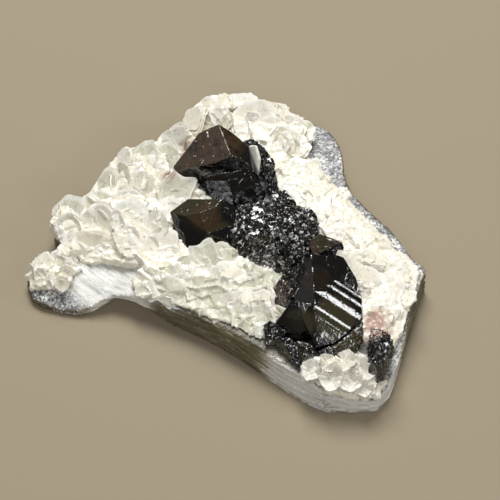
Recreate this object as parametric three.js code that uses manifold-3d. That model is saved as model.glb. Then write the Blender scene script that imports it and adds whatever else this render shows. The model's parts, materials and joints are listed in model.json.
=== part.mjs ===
// A hand specimen of cassiterite: dark tin-ore crystals in a chain across a crust of pale
// muscovite mica books, grown on a slab of grey mica schist. Sizes are in millimetres.
// +X runs along the specimen's long side, +Y towards its back edge and +Z up from the
// flat underside that it rests on. The origin is under the middle of the specimen.

import * as THREE from "three";
import { ConvexGeometry } from "three/addons/geometries/ConvexGeometry.js";
import { mergeVertices } from "three/addons/utils/BufferGeometryUtils.js";
import Module from "manifold-3d";

const wasm = await Module();
wasm.setup();

// Driving dimensions
const GAP = 0.3; // the seam left between one mineral and the next
const SLAB_TOP = 7.8; // height of the schist's upper face, away from its edges
const SLAB_MIDDLE = new THREE.Vector2(-2.8, 14.5); // every stretch of the edge is seen from here
const LEDGE = 0.7; // how far the harder schist layers stand out of the wall
const GRAIN = 0.22; // roughness of the broken rock
const ROOT_HEIGHT = 6.6; // crystals and crusts start below the schist's upper face and are cut by it
const ROOT_SHARE = 0.86; // a crystal's root is this share of its width
const CRUST_SKIRT = 2.2; // thickness of a mica crust at its outer edge
const CRUST_CROWN = 0.5; // how far a crust bulges above a straight line from rim to summit
const CRUST_ROOT = ROOT_HEIGHT - 1; // where a crust's underside runs out in its middle
const CRUST_RINGS = [0.6, 0.3]; // a crust's rings of corners, as shares of the way to its summit
const BOOK_THICKNESS = 1.1; // a stack of mica sheets
const BOOK_SIDES = 6;
const BOOK_SPACING = 0.25; // how unevenly a book's corners are spaced
const BOOK_REACH = 0.14; // how unevenly far out they are
const CORNER_REACH = 1.5; // a seam is this much wider at corners, so that it is whole on faces

// Small books: how many places are tried for each, how far up the crust they lie, how wide they
// are, how close to a neighbour, and how their faces are raised, tilted and turned, in degrees
const SMALL = {
  tries: 30,
  up: 0.45,
  upSpread: 0.38,
  width: 4.6,
  widthSpread: 0.8,
  near: 0.36,
  raise: 1.1,
  tilt: 26,
  tiltSpread: 12,
  turnSpread: 40,
};

// The wall's layers: how far down each lies, and how far it stands out as a share of LEDGE
const WALL = [
  [0.22, -0.3],
  [0.46, 0.35],
  [0.72, -0.1],
];
const TOP_RINGS = [0.45, 0.8, 1]; // the upper face's rings, as shares of the way to the edge
const UNDER_RINGS = [
  [0.99, 1],
  [0.86, 0.75],
  [0.6, 0],
]; // the underside's rings in the same shares, and their share of the edge's lift

// The schist's edge, walked anticlockwise from the left tip:
// x, y, height of the rim, height of the underside, how far the rim leans in over the foot
const EDGE = [
  [-45.3, -8.9, 3.4, 0.7, 0.9],
  [-43.7, -13.0, 2.7, 0.3, 0.6],
  [-41.1, -14.6, 2.2, 0, 0.5],
  [-37.0, -15.9, 2.0, 0, 0.4],
  [-32.5, -16.6, 2.4, 0, 0.4],
  [-29.6, -16.1, 3.2, 0.8, 0.4],
  [-27.3, -15.0, 4.2, 2.2, 0.3],
  [-25.0, -14.2, 5.1, 3.3, 0.2],
  [-22.5, -14.7, 5.6, 3.6, 0.2],
  [-19.6, -15.5, 6.0, 3.3, 0.3],
  [-16.3, -17.4, 6.4, 2.2, 0.4],
  [-11.8, -19.9, 6.8, 0.9, 0.5],
  [-7.9, -21.6, 7.1, 0, 0.6],
  [-2.3, -24.9, 7.5, 0, 0.8],
  [3.2, -28.9, 7.7, 0, 1.2],
  [8.0, -32.8, 7.8, 0, 2.2],
  [13.9, -37.8, 7.4, 0, 3.4],
  [18.1, -40.8, 6.4, 0, 3.9],
  [21.2, -42.3, 5.2, 0, 3.0],
  [26.5, -42.8, 4.2, 0, 1.2],
  [32.4, -42.3, 4.2, 0, 0.6],
  [34.8, -39.3, 5.0, 0, 0.5],
  [36.8, -34.1, 6.2, 0, 0.6],
  [38.7, -28.4, 6.8, 0, 0.7],
  [41.2, -20.8, 7.2, 0, 0.8],
  [43.3, -14.1, 7.4, 0, 0.8],
  [45.3, -9.2, 7.2, 0, 0.9],
  [42.4, -5.8, 7.2, 0, 0.7],
  [40.2, -1.4, 7.4, 0, 0.8],
  [37.8, 3.0, 7.5, 0, 0.8],
  [34.0, 7.8, 7.5, 0, 0.9],
  [31.2, 11.9, 7.5, 0, 0.8],
  [29.0, 15.7, 7.5, 0, 0.7],
  [28.2, 20.2, 7.5, 0, 0.7],
  [28.2, 25.8, 7.4, 0, 0.8],
  [27.3, 30.8, 7.3, 0, 0.8],
  [25.3, 34.8, 7.2, 0, 0.8],
  [22.2, 37.2, 7.2, 0, 0.8],
  [18.1, 39.4, 7.4, 0, 0.8],
  [13.9, 40.2, 7.5, 0, 0.7],
  [8.3, 41.6, 7.6, 0, 0.7],
  [1.7, 42.3, 7.6, 0, 0.7],
  [-4.4, 42.0, 7.5, 0, 0.8],
  [-8.6, 39.4, 7.4, 0, 0.8],
  [-11.0, 35.0, 7.3, 0, 0.8],
  [-15.1, 32.0, 7.2, 0, 0.8],
  [-18.0, 28.4, 7.2, 0, 0.8],
  [-22.4, 27.2, 7.0, 0, 0.8],
  [-26.4, 24.1, 6.8, 0, 0.8],
  [-29.0, 19.6, 6.6, 0, 0.8],
  [-31.8, 14.2, 6.4, 0, 0.8],
  [-36.0, 10.2, 6.0, 0, 0.8],
  [-39.7, 7.3, 5.6, 0, 0.8],
  [-40.4, 4.5, 5.4, 0, 0.8],
  [-38.4, 1.6, 5.0, 0.2, 0.7],
  [-38.6, -1.3, 4.8, 0.3, 0.7],
  [-41.1, -3.3, 4.4, 0.4, 0.8],
  [-44.1, -6.2, 3.9, 0.6, 0.9],
];

// The dark crystals. Each is one or more flat-faced individuals, given by their corners.
const CASSITERITE = {
  cassiterite_upper_twin: [
    [
      [-12.3, 15.2, 15.0], [-8.4, 18.5, 16.8], [-6.4, 23.0, 18.2], [-4.1, 23.7, 19.1],
      [-1.8, 24.1, 20.0], [1.1, 14.5, 19.6], [-2.5, 13.4, 18.2], [-6.7, 13.6, 16.8],
      [1.5, 22.2, 19.0], [5.2, 19.2, 17.5], [3.3, 15.0, 18.2], [5.9, 14.9, 15.0],
      [7.6, 14.6, 11.0], [-4.9, 13.4, 13.0], [-6.9, 14.2, 9.5], [5.0, 14.6, 9.0],
    ],
    [
      [-4.9, 12.4, 13.2], [0.1, 11.9, 14.0], [3.1, 12.5, 14.3], [5.8, 12.6, 13.9],
      [9.3, 11.2, 10.7], [8.4, 9.8, 9.0], [2.6, 8.3, 8.6], [-3.4, 9.8, 8.8],
      [-7.3, 11.4, 9.0], [-6.8, 11.9, 11.0], [-2.7, 15.4, 15.2], [4.2, 16.4, 16.0],
    ],
  ],
  cassiterite_left_crystal: [
    [
      [-12.6, 2.7, 13.5], [-8.6, 5.8, 14.5], [-0.9, 3.9, 16.5], [-2.2, 2.0, 16.3],
      [-5.7, 0.8, 15.4], [-9.1, 0.9, 14.2], [-4.1, -3.4, 13.2], [-11.2, -0.5, 11.0],
      [-9.2, -3.0, 9.5], [-8.0, -5.8, 8.4], [-2.4, -3.8, 9.0], [1.1, -3.4, 10.0],
      [2.7, -0.3, 13.0], [2.7, 4.1, 13.6], [-6.5, 8.6, 9.2], [1.0, 8.0, 9.2],
    ],
  ],
  cassiterite_back_sliver: [
    [
      [3.8, 24.9, 13.6], [5.9, 24.5, 15.0], [8.4, 21.1, 15.8], [11.2, 17.7, 14.2],
      [9.9, 15.6, 14.0], [7.9, 20.0, 12.6], [5.6, 22.6, 13.0],
    ],
    [
      [8.6, 16.9, 12.6], [10.9, 16.6, 14.3], [11.8, 12.8, 12.6], [12.2, 10.9, 9.6],
      [9.6, 12.4, 10.4],
    ],
  ],
  cassiterite_centre_mass: [
    [
      [-1.8, 1.0, 11.0], [-0.2, 3.2, 12.6], [4.3, 4.2, 14.2], [8.1, 4.4, 15.0],
      [13.2, 3.4, 15.2], [19.3, 3.2, 14.0], [20.7, 1.4, 13.0], [20.5, -2.6, 12.5],
      [17.1, -7.6, 12.5], [14.2, -9.8, 10.2], [9.4, -12.6, 8.2], [5.4, -10.0, 8.9],
      [2.3, -6.5, 9.8], [1.4, -3.0, 10.8], [8.7, -3.6, 17.2], [14.2, -3.2, 17.0],
      [6.5, -7.0, 15.0], [13.6, -7.4, 14.6], [4.0, -0.5, 15.4], [3.0, 8.4, 9.4],
      [10.6, 9.0, 9.6], [18.4, -10.6, 10.4], [21.4, -5.0, 10.6],
    ],
    [
      [10.4, 10.5, 12.0], [13.2, 10.2, 13.2], [15.9, 6.5, 12.4], [15.0, 3.6, 12.0],
      [10.9, 3.9, 12.2],
    ],
  ],
  cassiterite_small_prism: [
    [
      [18.4, -6.0, 14.0], [21.0, -5.4, 15.5], [25.6, -7.0, 14.7], [26.1, -7.7, 13.5],
      [25.0, -9.1, 12.0], [19.2, -9.8, 13.0],
    ],
  ],
  cassiterite_lower_crystal: [
    [
      [18.5, -14.2, 18.9], [24.1, -13.5, 17.9], [25.5, -13.8, 17.5], [26.2, -15.8, 16.8],
      [24.8, -18.1, 16.5], [23.4, -20.4, 16.2], [19.1, -25.1, 15.9], [28.2, -17.7, 15.1],
      [29.4, -21.5, 12.8], [29.3, -25.1, 11.2], [27.6, -27.1, 11.1], [25.7, -29.4, 10.9],
      [23.0, -31.9, 11.0], [19.2, -33.5, 12.0], [15.2, -15.8, 16.0], [14.8, -23.8, 14.4],
      [26.0, -12.0, 9.8], [16.4, -12.0, 9.8],
    ],
    [
      [14.3, -23.7, 15.6], [19.1, -25.3, 15.6], [18.9, -28.5, 13.0], [16.0, -29.4, 10.8],
      [9.7, -27.6, 9.6], [12.8, -26.2, 12.8],
    ],
    [
      [15.8, -13.2, 14.5], [12.8, -14.2, 13.0], [10.6, -17.2, 11.5], [9.9, -20.4, 10.2],
      [10.4, -22.6, 9.4], [13.9, -23.3, 14.4], [16.0, -20.2, 16.0],
    ],
  ],
  cassiterite_lower_fringe: [
    [
      [8.8, -26.8, 9.2], [12.4, -28.4, 10.0], [14.2, -30.6, 9.6], [9.6, -30.0, 8.4],
    ],
    [
      [12.4, -29.8, 9.8], [17.6, -31.4, 9.8], [23.6, -33.4, 9.6], [22.2, -35.8, 8.6],
      [15.2, -35.6, 8.4], [12.4, -32.0, 8.4],
    ],
    [
      [8.2, -27.1, 11.0], [9.6, -26.5, 12.0], [13.0, -29.1, 11.5], [11.8, -30.4, 8.4],
      [8.8, -30.7, 8.4],
    ],
    [
      [10.9, -29.6, 9.8], [13.8, -30.6, 11.2], [15.9, -32.2, 10.0], [14.2, -34.2, 8.4],
      [11.3, -31.6, 8.2], [12.6, -31.8, 11.0],
    ],
    [
      [15.1, -31.0, 10.7], [19.7, -32.0, 10.7], [19.3, -34.9, 8.8], [15.9, -35.6, 8.4],
      [17.2, -33.4, 11.2],
    ],
    [
      [18.8, -32.6, 10.7], [25.4, -31.2, 10.7], [24.9, -35.0, 8.8], [20.5, -35.8, 8.8],
      [22.4, -33.4, 11.3],
    ],
    [
      [23.2, -33.1, 11.2], [26.9, -29.1, 11.7], [29.4, -26.3, 11.2], [29.2, -29.8, 10.2],
      [28.0, -32.9, 9.0], [24.4, -34.7, 9.0],
    ],
  ],
  cassiterite_corner_crystal: [
    [
      [30.9, -28.6, 12.0], [34.0, -29.5, 12.6], [35.4, -32.0, 12.0], [35.6, -34.0, 10.6],
      [34.4, -36.8, 9.0], [33.2, -39.0, 7.6], [31.7, -39.6, 7.2], [30.1, -38.0, 7.6],
      [29.9, -35.6, 9.6], [30.2, -32.0, 10.8], [32.0, -34.0, 13.8], [32.2, -37.6, 12.2],
    ],
  ],
};

// The grooves down the striated face of the lower crystal: a point on the face where the
// lowest ridge starts, the way the ridges run down the face, the face's outward direction, each
// ridge's distance from the lowest one and its width, and the grooves between them: their depth
// and where they are deepest, as shares of their width, and their length up and down the face
const STRIATION = {
  crystal: "cassiterite_lower_crystal",
  start: [17.9, -27.7, 15.3],
  along: [0.82, -0.27, -0.5],
  out: [0.39, -0.38, 0.84],
  ridges: [0, 0.9, 2.75, 6.6, 8.65, 10.2],
  crest: 0.12,
  depth: 0.13,
  deepest: 0.7,
  length: [-2, 14],
};

// A thin mica blade that stands between the upper twin and the sliver behind it
const BLADE = [
  [5.2, 20.6, 16.4], [6.6, 19.4, 17.6], [7.6, 17.2, 15.4], [7.3, 15.6, 13.0], [7.0, 15.2, 9.0],
  [4.9, 21.2, 9.0], [5.7, 20.9, 16.4], [7.1, 19.8, 17.4], [8.0, 17.5, 15.4], [7.6, 15.9, 13.0],
];

// The mica crusts. Each has one or two low mounds, with a rim of x, y, z corners walked
// anticlockwise and a summit, a number of small scattered books, and its large books: x, y, z
// of the middle of the face, width, tilt of the face from level, and the compass direction
// that the face leans towards, anticlockwise from +X.
const MICA = {
  mica_left_rosettes: {
    seed: 11,
    scatter: 3,
    mounds: [
      {
        rim: [
          [-38.0, 1.0, 6.2], [-36.6, -2.2, 5.8], [-31.6, -4.6, 7.0], [-26.0, -6.6, 7.8],
          [-19.9, -8.4, 8.6], [-14.5, -9.8, 9.0], [-8.4, -8.4, 9.0], [-4.7, -4.8, 9.2],
          [-1.9, 5.8, 10.0], [-3.8, 12.4, 10.2], [-3.0, 19.2, 10.4], [-4.5, 25.1, 10.4],
          [-7.5, 29.9, 10.2], [-11.6, 32.4, 9.4], [-15.4, 32.6, 9.0], [-17.4, 28.6, 9.2],
          [-22.6, 27.6, 9.0], [-26.8, 24.4, 8.6], [-29.4, 19.4, 8.2], [-32.2, 13.8, 8.0],
          [-36.2, 10.2, 7.4], [-40.2, 7.4, 6.8], [-40.6, 4.6, 6.6],
        ],
        summit: [-20.0, 8.0, 11.4],
      },
    ],
    books: [
      [-36.2, 5.2, 9.5, 9.0, 20, 200], [-35.7, 1.4, 8.6, 6.4, 26, 225],
      [-29.5, 1.8, 10.6, 6.6, 38, 262], [-31.4, 6.2, 11.2, 7.0, 22, 200],
      [-22.3, 0.4, 12.6, 8.2, 34, 265], [-21.2, -3.8, 10.9, 8.6, 28, 270],
      [-30.6, -2.6, 8.4, 9.2, 28, 250], [-22.4, 5.4, 13.2, 9.2, 14, 240],
      [-27.6, 9.4, 11.8, 7.2, 20, 150], [-26.6, 14.0, 11.2, 7.0, 34, 170],
      [-21.6, 12.6, 13.4, 8.2, 30, 250], [-17.2, 15.8, 13.4, 8.8, 28, 230],
      [-23.0, 19.8, 11.8, 7.0, 46, 170], [-17.4, 21.0, 12.4, 6.6, 30, 120],
      [-11.0, 25.4, 12.4, 7.4, 48, 255], [-10.8, 19.8, 12.0, 6.6, 38, 250],
      [-12.4, 10.0, 12.6, 8.2, 38, 300], [-12.9, 4.2, 12.0, 7.6, 24, 230],
      [-16.8, 0.8, 11.8, 7.0, 56, 195], [-14.5, -4.6, 10.4, 8.6, 24, 270],
    ],
  },
  mica_tip_rosette: {
    seed: 23,
    scatter: 2,
    mounds: [
      {
        rim: [
          [-44.9, -8.2, 4.4], [-43.8, -11.4, 3.8], [-40.4, -12.0, 4.2], [-35.0, -11.0, 5.2],
          [-32.6, -7.6, 6.0], [-33.4, -4.6, 6.2], [-37.4, -2.8, 5.8], [-40.4, -4.0, 5.4],
          [-43.6, -6.2, 4.8],
        ],
        summit: [-39.4, -7.6, 6.4],
      },
    ],
    books: [
      [-36.6, -6.0, 6.8, 7.0, 28, 250], [-41.2, -5.8, 6.2, 6.2, 20, 160],
      [-41.4, -9.4, 5.5, 5.8, 24, 205],
    ],
  },
  mica_front_crust: {
    seed: 37,
    scatter: 3,
    mounds: [
      {
        rim: [
          [-19.8, -13.6, 6.8], [-16.6, -16.0, 7.2], [-12.2, -18.2, 7.6], [-7.6, -20.6, 7.9],
          [-2.1, -23.2, 8.2], [3.3, -26.2, 8.4], [7.6, -29.2, 8.4], [10.5, -26.4, 9.0],
          [12.3, -22.2, 9.2], [14.5, -17.1, 9.6], [13.8, -10.3, 9.6], [8.1, -5.1, 9.6],
          [2.7, -2.2, 9.6], [-1.7, -5.0, 9.4], [-5.7, -6.8, 9.2], [-9.4, -9.0, 9.0],
          [-14.5, -10.4, 8.8], [-18.8, -11.2, 7.8],
        ],
        summit: [-0.6, -13.4, 10.9],
      },
    ],
    books: [
      [-17.0, -13.2, 8.8, 8.0, 26, 230], [-11.0, -13.8, 9.8, 7.6, 22, 250],
      [-6.6, -11.0, 10.4, 7.6, 28, 280], [-2.0, -8.6, 10.8, 8.0, 30, 260],
      [-4.4, -17.0, 10.0, 7.6, 26, 240], [1.6, -13.8, 11.0, 7.6, 22, 300],
      [5.6, -17.6, 10.6, 8.0, 28, 250], [1.0, -21.0, 9.5, 7.0, 30, 235],
      [6.8, -23.6, 10.0, 7.0, 30, 250],
    ],
  },
  mica_back_rosettes: {
    seed: 53,
    scatter: 3,
    mounds: [
      {
        rim: [
          [-10.6, 34.6, 9.6], [-10.0, 31.7, 9.8], [-6.5, 24.4, 10.4], [-1.2, 20.7, 10.8],
          [5.4, 18.7, 10.8], [11.0, 18.4, 10.6], [15.2, 20.6, 10.2], [18.6, 25.0, 9.6],
          [20.2, 30.9, 9.0], [19.0, 35.4, 8.8], [17.0, 38.8, 8.8], [13.6, 40.6, 9.0],
          [8.2, 42.0, 9.4], [1.6, 42.6, 9.8], [-4.6, 42.4, 9.6], [-9.0, 39.8, 9.4],
        ],
        summit: [4.0, 31.6, 12.2],
      },
    ],
    books: [
      [-6.0, 36.8, 12.2, 6.4, 44, 150], [-1.8, 38.6, 13.0, 7.0, 28, 200],
      [-1.8, 32.8, 12.8, 6.6, 46, 240], [4.6, 38.6, 13.4, 8.2, 22, 100],
      [9.6, 33.2, 13.2, 9.6, 26, 290], [15.0, 30.6, 11.6, 7.2, 32, 300],
      [13.2, 25.4, 11.8, 6.8, 30, 250], [11.6, 38.4, 11.6, 6.6, 30, 70],
    ],
  },
  mica_right_crust: {
    seed: 71,
    scatter: 4,
    mounds: [
      {
        rim: [
          [10.1, 24.1, 10.4], [10.6, 17.8, 10.2], [11.6, 12.4, 10.2], [12.9, 7.7, 10.0],
          [17.8, 1.8, 10.0], [20.3, -2.6, 10.0], [26.7, -6.9, 9.8], [33.6, -6.8, 9.4],
          [38.2, -5.1, 8.9], [35.9, -0.9, 9.0], [31.9, 5.2, 9.0], [27.4, 11.5, 9.0],
          [23.3, 18.8, 9.0], [18.8, 25.1, 9.2],
        ],
        summit: [21.4, 9.4, 10.8],
      },
      {
        rim: [
          [21.0, -2.6, 10.0], [23.0, -8.9, 10.0], [25.0, -15.7, 10.0], [26.7, -21.1, 9.8],
          [27.0, -27.2, 9.4], [31.4, -30.5, 9.0], [35.6, -31.2, 8.2], [38.1, -26.6, 8.3],
          [40.2, -19.8, 8.5], [42.2, -13.7, 8.6], [43.2, -10.3, 8.6], [40.4, -5.8, 8.8],
          [36.8, -3.3, 8.9], [30.6, -1.3, 9.4],
        ],
        summit: [33.0, -13.6, 10.8],
      },
    ],
    books: [
      [16.4, 17.6, 11.2, 7.4, 16, 300], [15.4, 10.6, 11.2, 7.0, 16, 250],
      [21.2, 12.6, 11.2, 7.2, 12, 60], [20.8, 6.0, 11.4, 7.4, 12, 220],
      [26.2, 5.0, 11.0, 7.4, 14, 20], [24.8, -0.2, 11.4, 7.4, 14, 300],
      [30.6, -1.6, 10.8, 7.4, 14, 60], [32.6, -6.8, 10.8, 7.2, 20, 20],
      [29.0, -11.6, 11.6, 8.8, 28, 285], [37.4, -10.8, 10.2, 7.0, 16, 330],
      [34.4, -16.6, 10.7, 7.2, 14, 300], [33.2, -23.4, 10.4, 6.6, 18, 250],
      [38.4, -18.0, 9.8, 6.4, 16, 350],
    ],
  },
  mica_corner_fan: {
    seed: 89,
    scatter: 1,
    mounds: [
      {
        rim: [
          [14.2, -34.6, 8.2], [17.8, -37.4, 7.6], [21.4, -40.0, 6.4], [25.0, -41.6, 5.5],
          [29.0, -42.0, 5.2], [32.4, -41.4, 5.4], [34.2, -38.8, 6.4], [34.6, -35.6, 7.4],
          [31.0, -33.0, 8.4], [28.0, -32.6, 8.8], [23.0, -34.4, 8.8], [17.6, -35.2, 8.6],
        ],
        summit: [25.8, -36.4, 8.8],
      },
    ],
    books: [
      [20.8, -36.8, 9.0, 6.2, 26, 240], [25.4, -37.6, 9.0, 6.6, 30, 265],
      [29.0, -36.4, 9.0, 6.4, 26, 300], [29.8, -39.8, 7.7, 5.6, 24, 250],
    ],
  },
};

const FINISHES = {
  schist: { color: 0x9a9a94, roughness: 0.8 },
  mica: { color: 0xe6dfc8, roughness: 0.4 },
  cassiterite: { color: 0x1c1512, roughness: 0.18 },
};

// A repeatable source of small random numbers between -1 and 1.
function unevenness(seed) {
  let count = 0;
  return () => THREE.MathUtils.seededRandom(seed * 7919 + 104729 * ++count) * 2 - 1;
}

// Turns a closed geometry into a solid, with its shared corners merged.
function solidOf(geometry) {
  const bare = new THREE.BufferGeometry();
  bare.setAttribute("position", geometry.getAttribute("position"));
  bare.setIndex(geometry.index);
  const merged = mergeVertices(bare, 1e-3);
  const vertProperties = new Float32Array(merged.attributes.position.array);
  const triVerts = new Uint32Array(merged.index.array);
  return new wasm.Manifold(new wasm.Mesh({ numProp: 3, vertProperties, triVerts }));
}

const vectors = (corners) => corners.map((c) => new THREE.Vector3(...c));
const hull = (points) => solidOf(new ConvexGeometry(points));
const joined = (solids) => solids.reduce((whole, one) => whole.add(one));
const without = (solid, cutters) => cutters.reduce((left, one) => left.subtract(one), solid);

// The hull of the points with a seam's width added on every side.
function grownHull(points) {
  const ways = [-GAP, GAP];
  const around = ways.flatMap((x) => ways.flatMap((y) => ways.map((z) => [x, y, z])));
  return hull(vectors(around).flatMap((way) => points.map((p) => p.clone().add(way))));
}

// A closed surface through rings of equal length, from a pole on top to a pole underneath.
function ringedSolid(topPole, rings, bottomPole) {
  const size = rings[0].length;
  const points = [topPole, ...rings.flat(), bottomPole];
  const last = points.length - 1;
  const index = [];
  for (let i = 0; i < size; i++) {
    const next = (i + 1) % size;
    index.push(0, 1 + i, 1 + next);
    for (let r = 0; r < rings.length - 1; r++) {
      const here = 1 + r * size;
      const below = here + size;
      index.push(here + i, below + i, below + next);
      index.push(here + i, below + next, here + next);
    }
    const foot = 1 + (rings.length - 1) * size;
    index.push(last, foot + next, foot + i);
  }
  return solidOf(new THREE.BufferGeometry().setFromPoints(points).setIndex(index));
}

// The schist slab. Grown by a seam's width, the same shape cuts whatever rests on it.
function schistSlab(grow = 0) {
  const uneven = unevenness(5);
  const layers = TOP_RINGS.length + WALL.length;
  const grain = EDGE.map(() => Array.from({ length: layers }, () => uneven() * GRAIN));
  const at = ([x, y], inset, share, z) => {
    const spoke = new THREE.Vector2(x, y).sub(SLAB_MIDDLE);
    const reach = (spoke.length() - inset + grow) * share;
    return new THREE.Vector3(...spoke.setLength(reach).add(SLAB_MIDDLE), z);
  };
  const topRing = (share, layer) =>
    EDGE.map((edge, i) => {
      const [, , rim, , lean] = edge;
      const height = rim + (SLAB_TOP - rim) * (1 - share ** 3);
      return at(edge, lean, share, height + grain[i][layer] + grow);
    });
  const wallRing = (drop, ledge, layer) =>
    EDGE.map((edge, i) => {
      const [, , rim, under, lean] = edge;
      const height = THREE.MathUtils.lerp(rim, under, drop);
      return at(edge, lean * (1 - drop) + ledge * LEDGE + grain[i][layer], 1, height);
    });
  const underRing = (share, lift) =>
    EDGE.map((edge) => at(edge, 0, share, edge[3] * lift - grow));
  const rings = [
    ...TOP_RINGS.map((share, i) => topRing(share, i)),
    ...WALL.map(([drop, ledge], i) => wallRing(drop, ledge, TOP_RINGS.length + i)),
    ...UNDER_RINGS.map(([share, lift]) => underRing(share, lift)),
  ];
  const pole = (z) => new THREE.Vector3(...SLAB_MIDDLE, z);
  return ringedSolid(pole(SLAB_TOP + grow), rings, pole(-grow));
}

// One flat-faced crystal, carried down to a narrower root. Its corners move outwards by grow.
function crystal(corners, grow = 0) {
  const points = vectors(corners);
  const middle = new THREE.Box3().setFromPoints(points).getCenter(new THREE.Vector3());
  const roots = points.map((p) => p.clone().lerp(middle, 1 - ROOT_SHARE).setZ(ROOT_HEIGHT));
  const all = [...points, ...roots];
  if (grow === 0) return hull(all);
  return hull(all.map((p) => p.clone().sub(middle).setLength(grow * CORNER_REACH).add(p)));
}

// Long four-sided cutters that leave the grooves of the striated face.
function striationCutters() {
  const { start, along, out, ridges, crest, depth, deepest, length } = STRIATION;
  const run = new THREE.Vector3(...along).normalize();
  const up = new THREE.Vector3(...out).normalize();
  const across = new THREE.Vector3().crossVectors(up, run).normalize();
  const place = (s, r, u) =>
    new THREE.Vector3(...start)
      .addScaledVector(across, s)
      .addScaledVector(run, r)
      .addScaledVector(up, u);
  return ridges.slice(1).map((high, i) => {
    const low = ridges[i];
    const width = high - low - crest;
    const ends = length.flatMap((r) => [
      place(low + crest / 2, r, 0),
      place(high - crest / 2, r, 0),
      place((low + high) / 2, r, width),
      place(low + crest / 2 + width * deepest, r, -width * depth),
    ]);
    return hull(ends);
  });
}

// One mica book: an uneven flat stack of sheets, with its face at the given point.
function micaBook([x, y, z, width, tilt, lean], seed, grow) {
  const uneven = unevenness(seed);
  const lying = new THREE.Matrix4().makeRotationY(THREE.MathUtils.degToRad(tilt));
  const turned = new THREE.Matrix4().makeRotationZ(THREE.MathUtils.degToRad(lean));
  const placed = new THREE.Matrix4().makeTranslation(x, y, z).multiply(turned).multiply(lying);
  const corners = Array.from({ length: BOOK_SIDES }, (_, i) => {
    const turn = ((i + BOOK_SPACING * uneven()) / BOOK_SIDES) * Math.PI * 2;
    const reach = (width / 2) * (1 + BOOK_REACH * uneven()) + grow;
    return new THREE.Vector3(reach * Math.cos(turn), reach * Math.sin(turn), grow);
  });
  const feet = corners.map((p) => new THREE.Vector3(p.x, p.y, -BOOK_THICKNESS - grow));
  return hull([...corners, ...feet].map((p) => p.applyMatrix4(placed)));
}

// A low mound of mica, under and between the books.
function micaMound({ rim, summit }, uneven, grow) {
  const peak = new THREE.Vector3(...summit);
  const edge = vectors(rim).map((p) => {
    const out = new THREE.Vector3(p.x - peak.x, p.y - peak.y, 0).setLength(grow * CORNER_REACH);
    return p.add(out).setZ(p.z + grow);
  });
  const ring = (share) =>
    edge.map((p) => {
      const q = p.clone().lerp(peak, share);
      return q.setZ(q.z + CRUST_CROWN + uneven() * GRAIN);
    });
  const skirt = edge.map((p) => p.clone().setZ(p.z - CRUST_SKIRT - grow * 2));
  const foot = peak.clone().setZ(CRUST_ROOT);
  return ringedSolid(peak.clone().setZ(peak.z + grow), [...CRUST_RINGS.map(ring), edge, skirt], foot);
}

// Small books over the mounds, each where no larger one already lies.
function scatteredBooks({ mounds, scatter, books }, uneven) {
  const small = [];
  for (let i = 0; i < scatter * SMALL.tries && small.length < scatter; i++) {
    const { rim, summit } = mounds[i % mounds.length];
    const peak = new THREE.Vector3(...summit);
    const corner = new THREE.Vector3(...rim[Math.floor((0.5 + 0.4999 * uneven()) * rim.length)]);
    const spot = corner.lerp(peak, SMALL.up + SMALL.upSpread * uneven());
    const width = SMALL.width + SMALL.widthSpread * uneven();
    const near = ([x, y, , w]) => Math.hypot(x - spot.x, y - spot.y) < (w + width) * SMALL.near;
    if ([...books, ...small].some(near)) continue;
    const outwards = THREE.MathUtils.radToDeg(Math.atan2(spot.y - peak.y, spot.x - peak.x));
    const tilt = SMALL.tilt + SMALL.tiltSpread * uneven();
    const lean = outwards + SMALL.turnSpread * uneven();
    small.push([spot.x, spot.y, spot.z + SMALL.raise, width, tilt, lean]);
  }
  return small;
}

// A crust: its mounds with their large and small books.
function micaCrust(crust, grow = 0) {
  const uneven = unevenness(crust.seed);
  const books = [...crust.books, ...scatteredBooks(crust, uneven)];
  return joined([
    ...crust.mounds.map((mound) => micaMound(mound, uneven, grow)),
    ...books.map((book, i) => micaBook(book, crust.seed + i, grow)),
  ]);
}

// Builds every mineral, each cut back from those that were there before it.
function specimenSolids() {
  const solids = { schist_slab: schistSlab() };
  const taken = [schistSlab(GAP)];
  for (const [name, individuals] of Object.entries(CASSITERITE)) {
    const grooves = name === STRIATION.crystal ? striationCutters() : [];
    const whole = joined(individuals.map((corners) => crystal(corners)));
    solids[name] = without(whole, [...taken, ...grooves]);
    taken.push(joined(individuals.map((corners) => crystal(corners, GAP))));
  }
  solids.mica_blade = without(hull(vectors(BLADE)), taken);
  taken.push(grownHull(vectors(BLADE)));
  for (const [name, crust] of Object.entries(MICA)) {
    solids[name] = without(micaCrust(crust), taken);
    taken.push(micaCrust(crust, GAP));
  }
  return solids;
}

// A solid's triangles, without the crumbs that a cut left loose: the largest body stays.
function largestBody({ vertProperties, triVerts }) {
  const corner = (i) => new THREE.Vector3().fromArray(vertProperties, i * 3);
  const link = Array.from({ length: vertProperties.length / 3 }, (_, i) => i);
  const root = (i) => (link[i] === i ? i : (link[i] = root(link[i])));
  const volumes = {};
  for (let t = 0; t < triVerts.length; t += 3) {
    link[root(triVerts[t])] = root(triVerts[t + 1]);
    link[root(triVerts[t + 1])] = root(triVerts[t + 2]);
  }
  for (let t = 0; t < triVerts.length; t += 3) {
    const [a, b, c] = triVerts.slice(t, t + 3);
    const wedge = corner(a).dot(corner(b).cross(corner(c)));
    volumes[root(a)] = (volumes[root(a)] ?? 0) + wedge;
  }
  const best = Number(Object.keys(volumes).reduce((a, b) => (volumes[b] > volumes[a] ? b : a)));
  return triVerts.filter((_, i) => root(triVerts[i]) === best);
}

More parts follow.
